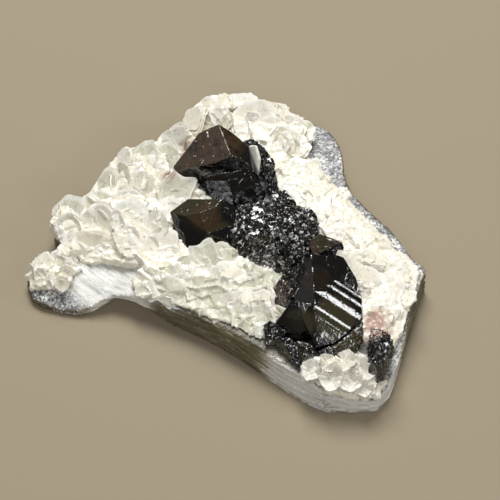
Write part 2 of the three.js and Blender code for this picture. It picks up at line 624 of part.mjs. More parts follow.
// A solid as a named mesh in its mineral's finish.
function mineralMesh(name, solid) {
  const triangles = solid.getMesh();
  const geometry = new THREE.BufferGeometry();
  geometry.setAttribute("position", new THREE.BufferAttribute(triangles.vertProperties, 3));
  geometry.setIndex(new THREE.BufferAttribute(largestBody(triangles), 1));
  const finish = FINISHES[name.split("_")[0]];
  const material = new THREE.MeshStandardMaterial({ ...finish, metalness: 0, flatShading: true });
  const mesh = new THREE.Mesh(geometry, material);
  mesh.name = name;
  return mesh;
}

const specimen = new THREE.Group();
specimen.name = "cassiterite_specimen";
for (const [name, solid] of Object.entries(specimenSolids())) {
  specimen.add(mineralMesh(name, solid));
}

export default specimen;
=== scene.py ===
"""Looks of a cassiterite specimen: dark crystals on pale muscovite books over mica schist.

Every mineral is shaped in millimetres around its solid in the frame and turned to metres when
it is finished. The crystals and the rock are fine meshes laid over their solids and given their
broken, stepped or layered relief by one Geometry Nodes tree. The mica is made of books: large
ones placed one by one, and small ones set over the crust by a second Geometry Nodes tree.
"""

import json
import logging
import math
from dataclasses import dataclass, field, replace
from enum import Enum

import bmesh
import bpy
import numpy as np
from mathutils import Matrix, Vector
from mathutils.bvhtree import BVHTree

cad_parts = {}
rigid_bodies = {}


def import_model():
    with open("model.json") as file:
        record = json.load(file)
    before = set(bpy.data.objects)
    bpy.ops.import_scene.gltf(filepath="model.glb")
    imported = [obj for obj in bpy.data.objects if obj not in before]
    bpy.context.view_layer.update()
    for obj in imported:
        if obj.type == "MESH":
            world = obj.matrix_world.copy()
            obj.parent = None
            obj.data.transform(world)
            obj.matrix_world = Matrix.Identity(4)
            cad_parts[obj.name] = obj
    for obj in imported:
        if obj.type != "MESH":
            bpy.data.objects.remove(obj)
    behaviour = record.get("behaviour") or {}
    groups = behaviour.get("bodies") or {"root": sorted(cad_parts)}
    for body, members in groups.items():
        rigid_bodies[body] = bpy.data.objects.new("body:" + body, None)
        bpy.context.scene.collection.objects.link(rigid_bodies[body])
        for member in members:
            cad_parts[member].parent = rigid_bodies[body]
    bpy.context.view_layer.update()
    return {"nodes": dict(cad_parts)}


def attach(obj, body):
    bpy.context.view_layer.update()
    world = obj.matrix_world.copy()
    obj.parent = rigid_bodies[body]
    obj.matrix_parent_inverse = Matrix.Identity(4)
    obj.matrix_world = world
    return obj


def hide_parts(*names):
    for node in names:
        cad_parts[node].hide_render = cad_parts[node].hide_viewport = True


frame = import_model()

log = logging.getLogger("specimen")
MM = 0.001
PER_MM = (1 / MM, 1 / MM, 1 / MM)  # turns coordinates in metres to millimetres
MERGE_MM = 0.002  # points of a solid that are nearer than this are merged
BODY = "root"

Point = tuple[float, float, float]
Socket = bpy.types.NodeSocket
Sockets = bpy.types.bpy_prop_collection
Tree = bpy.types.NodeTree


def linear(hex_colour: str) -> tuple[float, float, float, float]:
    """Turns an sRGB hex colour into Blender's linear RGBA.

    Args:
        hex_colour: six hex digits, such as "E8DFC8".

    Returns:
        The linear colour with alpha 1.
    """
    parts = [int(hex_colour[i : i + 2], 16) / 255 for i in (0, 2, 4)]
    r, g, b = (c / 12.92 if c <= 0.04045 else ((c + 0.055) / 1.055) ** 2.4 for c in parts)
    return (r, g, b, 1.0)


def pick_socket(sockets: Sockets, key: str | int) -> Socket:
    """Finds one of a node's sockets.

    Args:
        sockets: the node's inputs or outputs.
        key: the socket's number, identifier or name.

    Returns:
        The socket.
    """
    if isinstance(key, int):
        return sockets[key]
    return next((s for s in sockets if s.identifier == key), None) or sockets[key]


def fill(node: bpy.types.Node, inputs: dict | tuple) -> None:
    """Sets a node's constants and links its inputs.

    Args:
        node: the node.
        inputs: constants or sockets to link, in the inputs' order or by their names or identifiers.
    """
    for key, value in (inputs if isinstance(inputs, dict) else dict(enumerate(inputs))).items():
        socket = pick_socket(node.inputs, key)
        if isinstance(value, Socket):
            node.id_data.links.new(value, socket)
        else:
            socket.default_value = value


def add_node(
    tree: Tree,
    kind: str,
    inputs: dict | tuple = (),
    out: str | int = 0,
    stops: dict[float, str] | None = None,
    **settings: object,
) -> Socket | None:
    """Adds a node, with its settings, constants and links.

    Args:
        tree: the shader or geometry tree.
        kind: the node's type name.
        inputs: constants or sockets to link, in the inputs' order or by their names or identifiers.
        out: the name, identifier or number of the output to hand back.
        stops: for a node with a colour band, the sRGB hex colour at each place from 0 to 1.
        settings: the node's own properties.

    Returns:
        The chosen output. The node is its .node, and the other outputs are there.
    """
    node = tree.nodes.new(kind)
    for name, value in settings.items():
        setattr(node, name, value)
    while stops and len(node.color_ramp.elements) < len(stops):
        node.color_ramp.elements.new(1.0)
    for number, (spot, shade) in enumerate((stops or {}).items()):
        element = node.color_ramp.elements[number]
        element.position, element.color = spot, linear(shade)
    fill(node, inputs)
    return pick_socket(node.outputs, out) if len(node.outputs) else None


def new_material(name: str) -> tuple[Tree, bpy.types.Node]:
    """Starts a material.

    Args:
        name: its name.

    Returns:
        Its node tree and its shader.
    """
    material = bpy.data.materials.new(name)
    material.use_nodes = True
    return material.node_tree, material.node_tree.nodes["Principled BSDF"]


class Slot(Enum):
    """The record's material slots."""

    SCHIST = "mica_schist"
    MUSCOVITE = "muscovite"
    CASSITERITE = "cassiterite"


class Mark(Enum):
    """The numbers that a mesh's points carry to its relief and its material."""

    TONE = "tone"
    LEAF = "leaf"
    STAIN = "stain"
    CREST = "crest"
    WALL = "wall"
    SILKY = "silky"
    STEPPED = "stepped"
    ROUGH = "rough"
    BROWN = "brown"
    OLIVE = "olive"
    CRUSTY = "crusty"


class Tone(Enum):
    """The look of one mica book, as the value that its points carry to the material."""

    SILVER = -0.02
    WHITE = 0.38
    CREAM = 0.64
    YELLOW = 0.95


@dataclass(frozen=True)
class MuscoviteFinish:
    """Muscovite mica: naturally cleaved sheets, pearly, white to cream and silver-green.

    The cleaved faces are smooth and bright. Light scatters a little between the sheets, broken
    rims look white and carry a painted highlight, as do the folds' crests, painted shade darkens
    the pits, and fibres fan out over each book from its middle.

    Attributes:
        glow: the share of light that scatters below the surface.
        glow_mm: how far it gets.
        glow_reach: how far red, green and blue get of that.
        rays: how many fibres fan out over a book, as a noise scale round it.
        cloud_mm: the size of the drifts in tone.
        cloud_share: how much they move the tone.
        fibre_share: how much the fibres move it.
        drift_offset: what is added to both.
        wrinkle_mm: the size of the wrinkles.
        wrinkle_share: their height as a share of the fibres'.
        bump_mm: the height of both.
        bump_strength: how strongly that height shades.
        rim_band: where a book's rim begins and ends, as shares of its reach.
        rim_share: how white the rim is, as broken edge and painted highlight.
        crest_share: how much painted highlight whitens the crest of a fold.
        pit_band: the wrinkle heights between which a pit is darkened with painted shade.
        pit_share: how dark the painted shade in a pit gets.
        stain_band: the drift values between which a stain spreads.
        gloss_band: the wrinkle heights that count as hollows and as tops.
        roughness: the roughness in the wrinkles' hollows and on their tops.
    """

    name: str = "muscovite_cleaved_sheets"
    silver: str = "CFCDB6"
    white: str = "F8F5E9"
    cream: str = "F1EBDA"
    yellow: str = "FAF2DA"
    # hollow: the painted shade in the wrinkles' pits
    hollow: str = "8F8B6C"
    # rim: the broken rims' white with a painted highlight, and the painted highlight on fold crests
    rim: str = "FFFDF8"
    stain: str = "A8725C"
    ior: float = 1.58
    glow: float = 0.2
    glow_mm: float = 0.8
    glow_reach: Point = (1.0, 1.0, 0.9)
    rays: float = 6.0
    cloud_mm: float = 4.0
    cloud_share: float = 0.5
    fibre_share: float = 0.3
    drift_offset: float = -0.3
    wrinkle_mm: float = 0.8
    wrinkle_share: float = 0.8
    bump_mm: float = 0.2
    bump_strength: float = 0.5
    rim_band: tuple[float, float] = (0.84, 0.97)
    rim_share: float = 0.55
    crest_share: float = 0.55
    pit_band: tuple[float, float] = (0.42, 0.32)
    pit_share: float = 0.6
    stain_band: tuple[float, float] = (0.45, 0.54)
    gloss_band: tuple[float, float] = (0.3, 0.7)
    roughness: tuple[float, float] = (0.14, 0.42)

    def build(self) -> bpy.types.Material:
        """Builds the muscovite material.

        Returns:
            The material, which reads the books' marks and Object coordinates.
        """
        tree, shader = new_material(self.name)
        place = add_node(tree, "ShaderNodeTexCoord", out="Object")
        place = add_node(tree, "ShaderNodeMapping", {"Vector": place, "Scale": PER_MM})
        leaf = add_node(tree, "ShaderNodeAttribute", out="Vector", attribute_name=Mark.LEAF.value)
        flat = add_node(tree, "ShaderNodeVectorMath", (leaf, (1.0, 1.0, 0.0)), operation="MULTIPLY")
        fibres = self._fibres(tree, leaf, flat)
        look = {"Vector": place, "Scale": 1 / self.cloud_mm, "Detail": 5.0}
        cloud = add_node(tree, "ShaderNodeTexNoise", look, "Fac")
        look = {"Vector": place, "Scale": 1 / self.wrinkle_mm, "Detail": 5.0, "Roughness": 0.65}
        wrinkles = add_node(tree, "ShaderNodeTexNoise", look, "Fac")
        colour = self._face(tree, cloud, fibres)
        # pits take painted shade, rims their broken white with a painted highlight, fold crests a painted
        # highlight, stains their own colour
        for share, tint in (
            (self._pits(tree, wrinkles), self.hollow),
            (self._rim(tree, flat), self.rim),
            (self._crests(tree), self.rim),
            (self._stains(tree, cloud), self.stain),
        ):
            mix = {"Factor_Float": share, "A_Color": colour, "B_Color": linear(tint)}
            colour = add_node(tree, "ShaderNodeMix", mix, "Result_Color", data_type="RGBA")
        height = add_node(tree, "ShaderNodeMath", (wrinkles, self.wrinkle_share), operation="MULTIPLY")
        height = add_node(tree, "ShaderNodeMath", (fibres, 1.0, height), operation="MULTIPLY_ADD")
        bump = {"Height": height, "Strength": self.bump_strength, "Distance": self.bump_mm * MM}
        gloss = dict(zip(("From Min", "From Max", "To Min", "To Max"), self.gloss_band + self.roughness))
        gloss["Value"] = wrinkles
        dress = {
            "Base Color": colour,
            "Normal": add_node(tree, "ShaderNodeBump", bump),
            "Roughness": add_node(tree, "ShaderNodeMapRange", gloss),
            "IOR": self.ior,
            "Subsurface Weight": self.glow,
            "Subsurface Radius": self.glow_reach,
            "Subsurface Scale": self.glow_mm * MM,
        }
        fill(shader, dress)
        return bpy.data.materials[self.name]

    def _fibres(self, tree: Tree, leaf: Socket, flat: Socket) -> Socket:
        """Draws fibres that fan out from a book's middle.

        Args:
            tree: the material's tree.
            leaf: the place on the sheet, with the sheet's own number as its third part.
            flat: the same place without that number.

        Returns:
            The fibres' height from 0 to 1.
        """
        ray = add_node(tree, "ShaderNodeVectorMath", (flat,), operation="NORMALIZE")
        ray = add_node(tree, "ShaderNodeVectorMath", {0: ray, "Scale": self.rays}, operation="SCALE")
        ray = add_node(tree, "ShaderNodeVectorMath", (ray, leaf), operation="ADD")
        look = {"Vector": ray, "Scale": 1.0, "Detail": 4.0, "Roughness": 0.6}
        return add_node(tree, "ShaderNodeTexNoise", look, "Fac")

    def _face(self, tree: Tree, cloud: Socket, fibres: Socket) -> Socket:
        """Colours the sheets by each book's tone, drifting a little with the cloud and the fibres.

        Args:
            tree: the material's tree.
            cloud: the drifts in tone.
            fibres: the fibres' height.

        Returns:
            The colour.
        """
        tone = add_node(tree, "ShaderNodeAttribute", out="Fac", attribute_name=Mark.TONE.value)
        drift = (cloud, self.cloud_share, self.drift_offset)
        drift = add_node(tree, "ShaderNodeMath", drift, operation="MULTIPLY_ADD")
        drift = add_node(tree, "ShaderNodeMath", (fibres, self.fibre_share, drift), operation="MULTIPLY_ADD")
        shade = add_node(tree, "ShaderNodeMath", (tone, drift), operation="ADD", use_clamp=True)
        stops = {0.0: self.silver, 0.38: self.white, 0.68: self.cream, 1.0: self.yellow}
        return add_node(tree, "ShaderNodeValToRGB", {"Fac": shade}, stops=stops)

    def _pits(self, tree: Tree, wrinkles: Socket) -> Socket:
        """Says how far each place is a pit darkened with painted shade.

        Args:
            tree: the material's tree.
            wrinkles: the wrinkles' height.

        Returns:
            The share of the painted shade's colour.
        """
        start, end = self.pit_band
        shaded_pits = add_node(tree, "ShaderNodeMapRange", {"Value": wrinkles, "From Min": start, "From Max": end})
        return add_node(tree, "ShaderNodeMath", (shaded_pits, self.pit_share), operation="MULTIPLY")

    def _rim(self, tree: Tree, flat: Socket) -> Socket:
        """Says how far each place is a book's rim, white as a broken edge and with a painted highlight.

        Args:
            tree: the material's tree.
            flat: the place on the sheet.

        Returns:
            The share of the rim's colour.
        """
        start, end = self.rim_band
        reach = add_node(tree, "ShaderNodeVectorMath", (flat,), "Value", operation="LENGTH")
        rim = add_node(tree, "ShaderNodeMapRange", {"Value": reach, "From Min": start, "From Max": end})
        return add_node(tree, "ShaderNodeMath", (rim, self.rim_share), operation="MULTIPLY")

    def _crests(self, tree: Tree) -> Socket:
        """Says how far each place gets a painted highlight as the crest of a fold, from the relief's own
        mark.
        """
        crest = add_node(tree, "ShaderNodeAttribute", out="Fac", attribute_name=Mark.CREST.value)
        return add_node(tree, "ShaderNodeMath", (crest, self.crest_share), operation="MULTIPLY")

    def _stains(self, tree: Tree, cloud: Socket) -> Socket:
        """Says how far each place is stained.

        Args:
            tree: the material's tree.
            cloud: the drifts, which break a stain's edge.

        Returns:
            The share of the stain's colour.
        """
        start, end = self.stain_band
        blots = add_node(tree, "ShaderNodeMapRange", {"Value": cloud, "From Min": start, "From Max": end})
        stain = add_node(tree, "ShaderNodeAttribute", out="Fac", attribute_name=Mark.STAIN.value)
        return add_node(tree, "ShaderNodeMath", (stain, blots), operation="MULTIPLY")


@dataclass(frozen=True)
class SchistFinish:
    """Grey mica schist, as broken: a salt-and-pepper face and finely layered walls.

    The broken face glints dully grain by grain. Drawn-out mica gives the silky patch its pale
    streaks, and the walls show the rock's layers as thin tan bands, darkened as painted shade.

    Attributes:
        grain_mm: the width of a grain.
        grain_share: how much a grain's own shade counts.
        patch_mm: the size of the lighter and darker patches.
        patch_share: how much they count.
        salt_offset: what is added to both.
        layer_mm: the thickness of a layer.
        layer_waves_per_mm: the scale of the layers' waves along the walls.
        streaks_per_mm: how many silky streaks fit in a millimetre along, across and down.
        streak_turn: the streaks' direction in degrees.
        silk_lift: how much paler the silky zone makes the layers.
        bump_mm: the height of the grains.
        bump_strength: how strongly that height shades.
    """

    name: str = "mica_schist_broken"
    white: str = "F2F0EA"
    pale: str = "B9B8B4"
    grey: str = "86878A"
    dark: str = "55575B"
    silk: str = "DDDCD6"
    silk_shadow: str = "A6A9AB"
    # the walls' layer colours, darkened as painted shade
    wall_pale: str = "877F68"
    wall_tan: str = "605943"
    wall_dark: str = "403A29"
    roughness: float = 0.45
    ior: float = 1.55
    grain_mm: float = 0.42
    grain_share: float = 0.75
    patch_mm: float = 6.25
    patch_share: float = 1.9
    salt_offset: float = -0.97
    layer_mm: float = 0.5
    layer_waves_per_mm: float = 0.14
    streaks_per_mm: Point = (0.12, 1.3, 0.4)
    streak_turn: float = 38.0
    silk_lift: float = 0.42
    bump_mm: float = 0.15
    bump_strength: float = 0.5

    def build(self) -> bpy.types.Material:
        """Builds the schist material.

        Returns:
            The material, which reads the slab's marks and Object coordinates.
        """
        tree, shader = new_material(self.name)
        place = add_node(tree, "ShaderNodeTexCoord", out="Object")
        place = add_node(tree, "ShaderNodeMapping", {"Vector": place, "Scale": PER_MM})
        look = {"Vector": place, "Scale": 1 / self.grain_mm}
        grains = add_node(tree, "ShaderNodeTexVoronoi", look, "Color")
        is_silky = add_node(tree, "ShaderNodeAttribute", out="Fac", attribute_name=Mark.SILKY.value)
        is_wall = add_node(tree, "ShaderNodeAttribute", out="Fac", attribute_name=Mark.WALL.value)
        waves = self.layer_waves_per_mm
        look = {"Vector": place, "Scale": (waves, waves, 1 / self.layer_mm)}
        squashed = add_node(tree, "ShaderNodeMapping", look)
        look = {"Vector": squashed, "Scale": 1.0, "Detail": 6.0, "Roughness": 0.7}
        bands = add_node(tree, "ShaderNodeTexNoise", look, "Fac")
        colour = self._speckled(tree, place, grains)
        for share, tint in (
            (is_silky, self._silky(tree, place)),
            (is_wall, self._layered(tree, bands, is_silky)),
        ):
            mix = {"Factor_Float": share, "A_Color": colour, "B_Color": tint}
            colour = add_node(tree, "ShaderNodeMix", mix, "Result_Color", data_type="RGBA")
        depth = grains.node.outputs["Distance"]
        height = add_node(tree, "ShaderNodeMath", (bands, is_wall, depth), operation="MULTIPLY_ADD")
        bump = {"Height": height, "Strength": self.bump_strength, "Distance": self.bump_mm * MM}
        dress = {
            "Base Color": colour,
            "Normal": add_node(tree, "ShaderNodeBump", bump),
            "Roughness": self.roughness,
            "IOR": self.ior,
        }
        fill(shader, dress)
        return bpy.data.materials[self.name]

    def _speckled(self, tree: Tree, place: Socket, grains: Socket) -> Socket:
        """Colours the broken face grain by grain.

        Args:
            tree: the material's tree.
            place: the place in millimetres.
            grains: a colour of its own for each grain.

        Returns:
            The colour.
        """
        grain = add_node(tree, "ShaderNodeSeparateColor", (grains,))
        look = {"Vector": place, "Scale": 1 / self.patch_mm, "Detail": 5.0, "Roughness": 0.65}
        patches = add_node(tree, "ShaderNodeTexNoise", look, "Fac")
        salt = (patches, self.patch_share, self.salt_offset)
        salt = add_node(tree, "ShaderNodeMath", salt, operation="MULTIPLY_ADD")
        salt = (grain, self.grain_share, salt)
        salt = add_node(tree, "ShaderNodeMath", salt, operation="MULTIPLY_ADD", use_clamp=True)
        stops = {0.05: self.dark, 0.3: self.grey, 0.55: self.pale, 0.85: self.white}
        return add_node(tree, "ShaderNodeValToRGB", {"Fac": salt}, stops=stops)

    def _silky(self, tree: Tree, place: Socket) -> Socket:
        """Colours the silky patch with drawn-out streaks.

        Args:
            tree: the material's tree.
            place: the place in millimetres.

        Returns:
            The colour.
        """
        turn = (0, 0, math.radians(self.streak_turn))
        turned = add_node(tree, "ShaderNodeMapping", {"Vector": place, "Rotation": turn})
        drawn = {"Vector": turned, "Scale": self.streaks_per_mm}
        drawn = add_node(tree, "ShaderNodeMapping", drawn)
        look = {"Vector": drawn, "Scale": 1.0, "Detail": 6.0, "Roughness": 0.7}
        streaks = add_node(tree, "ShaderNodeTexNoise", look, "Fac")
        stops = {0.34: self.silk_shadow, 0.48: self.silk, 0.62: self.white}
        return add_node(tree, "ShaderNodeValToRGB", {"Fac": streaks}, stops=stops)

    def _layered(self, tree: Tree, bands: Socket, is_silky: Socket) -> Socket:
        """Colours the walls in thin bands, kept dark as painted shade.

        Args:
            tree: the material's tree.
            bands: the layers' values.
            is_silky: where the rock is paler.

        Returns:
            The colour.
        """
        lifted = (is_silky, self.silk_lift, bands)
        layers = add_node(tree, "ShaderNodeMath", lifted, operation="MULTIPLY_ADD")
        stops = {0.3: self.wall_dark, 0.47: self.wall_tan, 0.62: self.wall_pale, 0.8: self.silk}
        return add_node(tree, "ShaderNodeValToRGB", {"Fac": layers}, stops=stops)


@dataclass(frozen=True)
class CassiteriteFinish:
    """Cassiterite, as grown and as broken: a tin ore with a near-metallic, adamantine lustre.

    Its high index gives even black faces bright, sharp reflections. Thin zones let light in and
    look brown; that brown, and an olive that is partly its own tint and partly painted sheen, are
    laid on upper faces only, as painted light. Broken places are a little rougher and carry pale
    painted glints.

    Attributes:
        zone_mm: the size of the drifts that break the brown zones and gather the rust.
        brown_band: the drift values between which brown begins and is full.
        rust_band: the same for rust.
        etch_mm: the size of the etch marks.
        etch_depth_mm: their depth.
        etch_share: how much of that depth a smooth face has, and how much breaks add.
        etch_strength: how strongly that depth shades.
        chips_per_mm: how many of the crust's chips fit in a millimetre.
        chip_band: the values between which a chip begins and is full.
        speck_mm: the size of the dust specks.
        speck_band: the values between which a speck begins and is full.
        fleck_mm: the size of the drifts that the pale painted glints follow.
        fleck_band: the values between which a painted glint begins and is full.
        glitter_power: how quickly the glitter falls off with the roughness mark.
        olive_calm: how much less an olive face glitters.
        roughness: the roughness of a smooth face and of a broken one.
        dull: how much rougher brown, olive and crusty places are.
    """

    name: str = "cassiterite_adamantine"
    black: str = "0B0908"
    brown: str = "3A2A17"
    rust: str = "6E4221"
    # olive: partly the crystal's own tint, partly painted sheen of reflected light on upper faces
    olive: str = "37321F"
    crust: str = "CFA795"
    speck: str = "9A8C74"
    # fleck: pale painted glints on broken, glittering places
    fleck: str = "D6D3CC"
    ior: float = 2.0
    zone_mm: float = 2.0
    brown_band: tuple[float, float] = (0.3, 0.52)
    rust_band: tuple[float, float] = (0.64, 0.72)
    etch_mm: float = 0.5
    etch_depth_mm: float = 0.1
    etch_share: tuple[float, float] = (0.1, 0.35)
    etch_strength: float = 0.8
    chips_per_mm: float = 1.4
    chip_band: tuple[float, float] = (0.48, 0.56)
    speck_mm: float = 0.28
    speck_band: tuple[float, float] = (0.81, 0.84)
    fleck_mm: float = 0.9
    fleck_band: tuple[float, float] = (0.6, 0.64)
    glitter_power: float = 3.0
    olive_calm: float = 0.6
    roughness: tuple[float, float] = (0.09, 0.2)
    dull: tuple[float, float, float] = (0.04, 0.03, 0.5)

    def build(self) -> bpy.types.Material:
        """Builds the cassiterite material.

        Returns:
            The material, which reads the crystals' marks and Object coordinates.
        """
        tree, shader = new_material(self.name)
        place = add_node(tree, "ShaderNodeTexCoord", out="Object")
        place = add_node(tree, "ShaderNodeMapping", {"Vector": place, "Scale": PER_MM})
        brown, olive, crusty, rough = (
            add_node(tree, "ShaderNodeAttribute", out="Fac", attribute_name=mark.value)
            for mark in (Mark.BROWN, Mark.OLIVE, Mark.CRUSTY, Mark.ROUGH)
        )
        zones, grit, dust, drifts = (
            add_node(tree, "ShaderNodeTexNoise", {"Vector": place, **look}, "Fac")
            for look in (
                {"Scale": 1 / self.zone_mm, "Detail": 6.0, "Roughness": 0.65},
                {"Scale": self.chips_per_mm, "Detail": 5.0, "Roughness": 0.7},
                {"Scale": 1 / self.speck_mm},
                {"Scale": 1 / self.fleck_mm, "Detail": 3.0, "Distortion": 0.6},
            )
        )
        spread, rust, chips, specks, painted_glints = (
            add_node(tree, "ShaderNodeMapRange", {"Value": value, "From Min": start, "From Max": full})
            for value, (start, full) in (
                (zones, self.brown_band),
                (zones, self.rust_band),
                (grit, self.chip_band),
                (dust, self.speck_band),
                (drifts, self.fleck_band),
            )
        )
        glitter = self._glitter(tree, rough, olive)
        brown = add_node(tree, "ShaderNodeMath", (brown, spread), operation="MULTIPLY", use_clamp=True)
        rust, chips, painted_glints = (
            add_node(tree, "ShaderNodeMath", shares, operation="MULTIPLY")
            for shares in ((brown, rust), (chips, crusty), (painted_glints, glitter))
        )
        colour = linear(self.black)
        for share, tint in (
            (olive, self.olive),
            (brown, self.brown),
            (rust, self.rust),
            (specks, self.speck),
            (painted_glints, self.fleck),
            (chips, self.crust),
        ):
            mix = {"Factor_Float": share, "A_Color": colour, "B_Color": linear(tint)}
            colour = add_node(tree, "ShaderNodeMix", mix, "Result_Color", data_type="RGBA")
        smooth, broken = self.roughness
        gloss = {"Value": rough, "To Min": smooth, "To Max": broken}
        gloss = add_node(tree, "ShaderNodeMapRange", gloss)
        for share, dull in zip((brown, olive, chips), self.dull):
            gloss = add_node(tree, "ShaderNodeMath", (share, dull, gloss), operation="MULTIPLY_ADD")
        dress = {
            "Base Color": colour,
            "Normal": self._etched(tree, place, glitter),
            "Roughness": gloss,
            "IOR": self.ior,
        }
        fill(shader, dress)
        return bpy.data.materials[self.name]

    def _glitter(self, tree: Tree, rough: Socket, olive: Socket) -> Socket:
        """Says how broken and glittering each place is, less so where it is olive; it sets the painted
        glints and the etch depth.

        Args:
            tree: the material's tree.
            rough: the roughness mark.
            olive: the olive mark.

        Returns:
            The share.
        """
        glitter = add_node(tree, "ShaderNodeMath", (rough, self.glitter_power), operation="POWER")
        bare = add_node(tree, "ShaderNodeMath", (olive, -self.olive_calm, 1.0), operation="MULTIPLY_ADD")
        return add_node(tree, "ShaderNodeMath", (glitter, bare), operation="MULTIPLY")

    def _etched(self, tree: Tree, place: Socket, glitter: Socket) -> Socket:
        """Roughens the faces with fine etch marks, deeper where they glitter.

        Args:
            tree: the material's tree.
            place: the place in millimetres.
            glitter: how broken each place is.

        Returns:
            The shading normal.
        """
        look = {"Vector": place, "Scale": 1 / self.etch_mm, "Detail": 4.0}
        etch = add_node(tree, "ShaderNodeTexNoise", look, "Fac")
        smooth, broken = self.etch_share
        depth = add_node(tree, "ShaderNodeMath", (glitter, broken, smooth), operation="MULTIPLY_ADD")
        etch = add_node(tree, "ShaderNodeMath", (etch, depth), operation="MULTIPLY")
        bump = {"Height": etch, "Strength": self.etch_strength, "Distance": self.etch_depth_mm * MM}
        return add_node(tree, "ShaderNodeBump", bump)


@dataclass(frozen=True)
class Relief:
    """The values of the relief tree for one kind of surface, in millimetres.

    A piece's rough mark scales its facets and grain, and its stepped mark scales the steps.

    Attributes:
        fold_size: the width of a crumpled fold.
        fold_depth: its height.
        facet_size: the width of a small break.
        facet_tilt: how steeply the breaks lean.
        step_direction: the direction in which one step follows another.
        step_pitch: the distance between two steps.
        step_height: their height.
        step_wobble: how far they are bent.
        grain_size: the width of the fine unevenness.
        grain_depth: its height.
        seed: moves the whole pattern, so that each piece has its own.
    """

    fold_size: float = 4.0
    fold_depth: float = 0.0
    facet_size: float = 0.8
    facet_tilt: float = 0.0
    step_direction: Point = (0.0, 0.0, 1.0)
    step_pitch: float = 1.0
    step_height: float = 0.0
    step_wobble: float = 0.6
    grain_size: float = 0.5
    grain_depth: float = 0.0
    seed: float = 0.0


def declare_inputs(tree: Tree, values: dict[str, object]) -> dict[str, str]:
    """Declares a Geometry Nodes tree's geometry, its named inputs and its output.

    Args:
        tree: the tree.
        values: for each input's name, an example value or a socket type's name.

    Returns:
        For each name, its socket's identifier.
    """
    kinds = {int: "NodeSocketInt", float: "NodeSocketFloat", tuple: "NodeSocketVector"}
    face = tree.interface
    face.new_socket("Geometry", in_out="INPUT", socket_type="NodeSocketGeometry")
    face.new_socket("Geometry", in_out="OUTPUT", socket_type="NodeSocketGeometry")
    ids = {}
    for name, value in values.items():
        kind = value if isinstance(value, str) else kinds[type(value)]
        ids[name] = face.new_socket(name, in_out="INPUT", socket_type=kind).identifier
    return ids


def dress_output(tree: Tree, shape: Socket, material: Socket) -> None:
    """Ends a Geometry Nodes tree: gives its geometry a material and hands it out.

    Args:
        tree: the tree.
        shape: the geometry.
        material: the tree's material input.
    """
    dressed = add_node(tree, "GeometryNodeSetMaterial", {"Geometry": shape, "Material": material})
    add_node(tree, "NodeGroupOutput", (dressed,))


def run_tree(piece: bpy.types.Object, tree: Tree, ids: dict[str, str], values: dict[str, object]) -> None:
    """Runs a Geometry Nodes tree on a piece and keeps the result as plain geometry.

    Args:
        piece: the piece.
        tree: the tree.
        ids: for each input's name, its socket's identifier.
        values: for each input's name, its value.
    """
    modifier = piece.modifiers.new(tree.name, "NODES")
    modifier.node_group = tree
    for name, value in values.items():
        modifier[ids[name]] = value
    bake(piece)


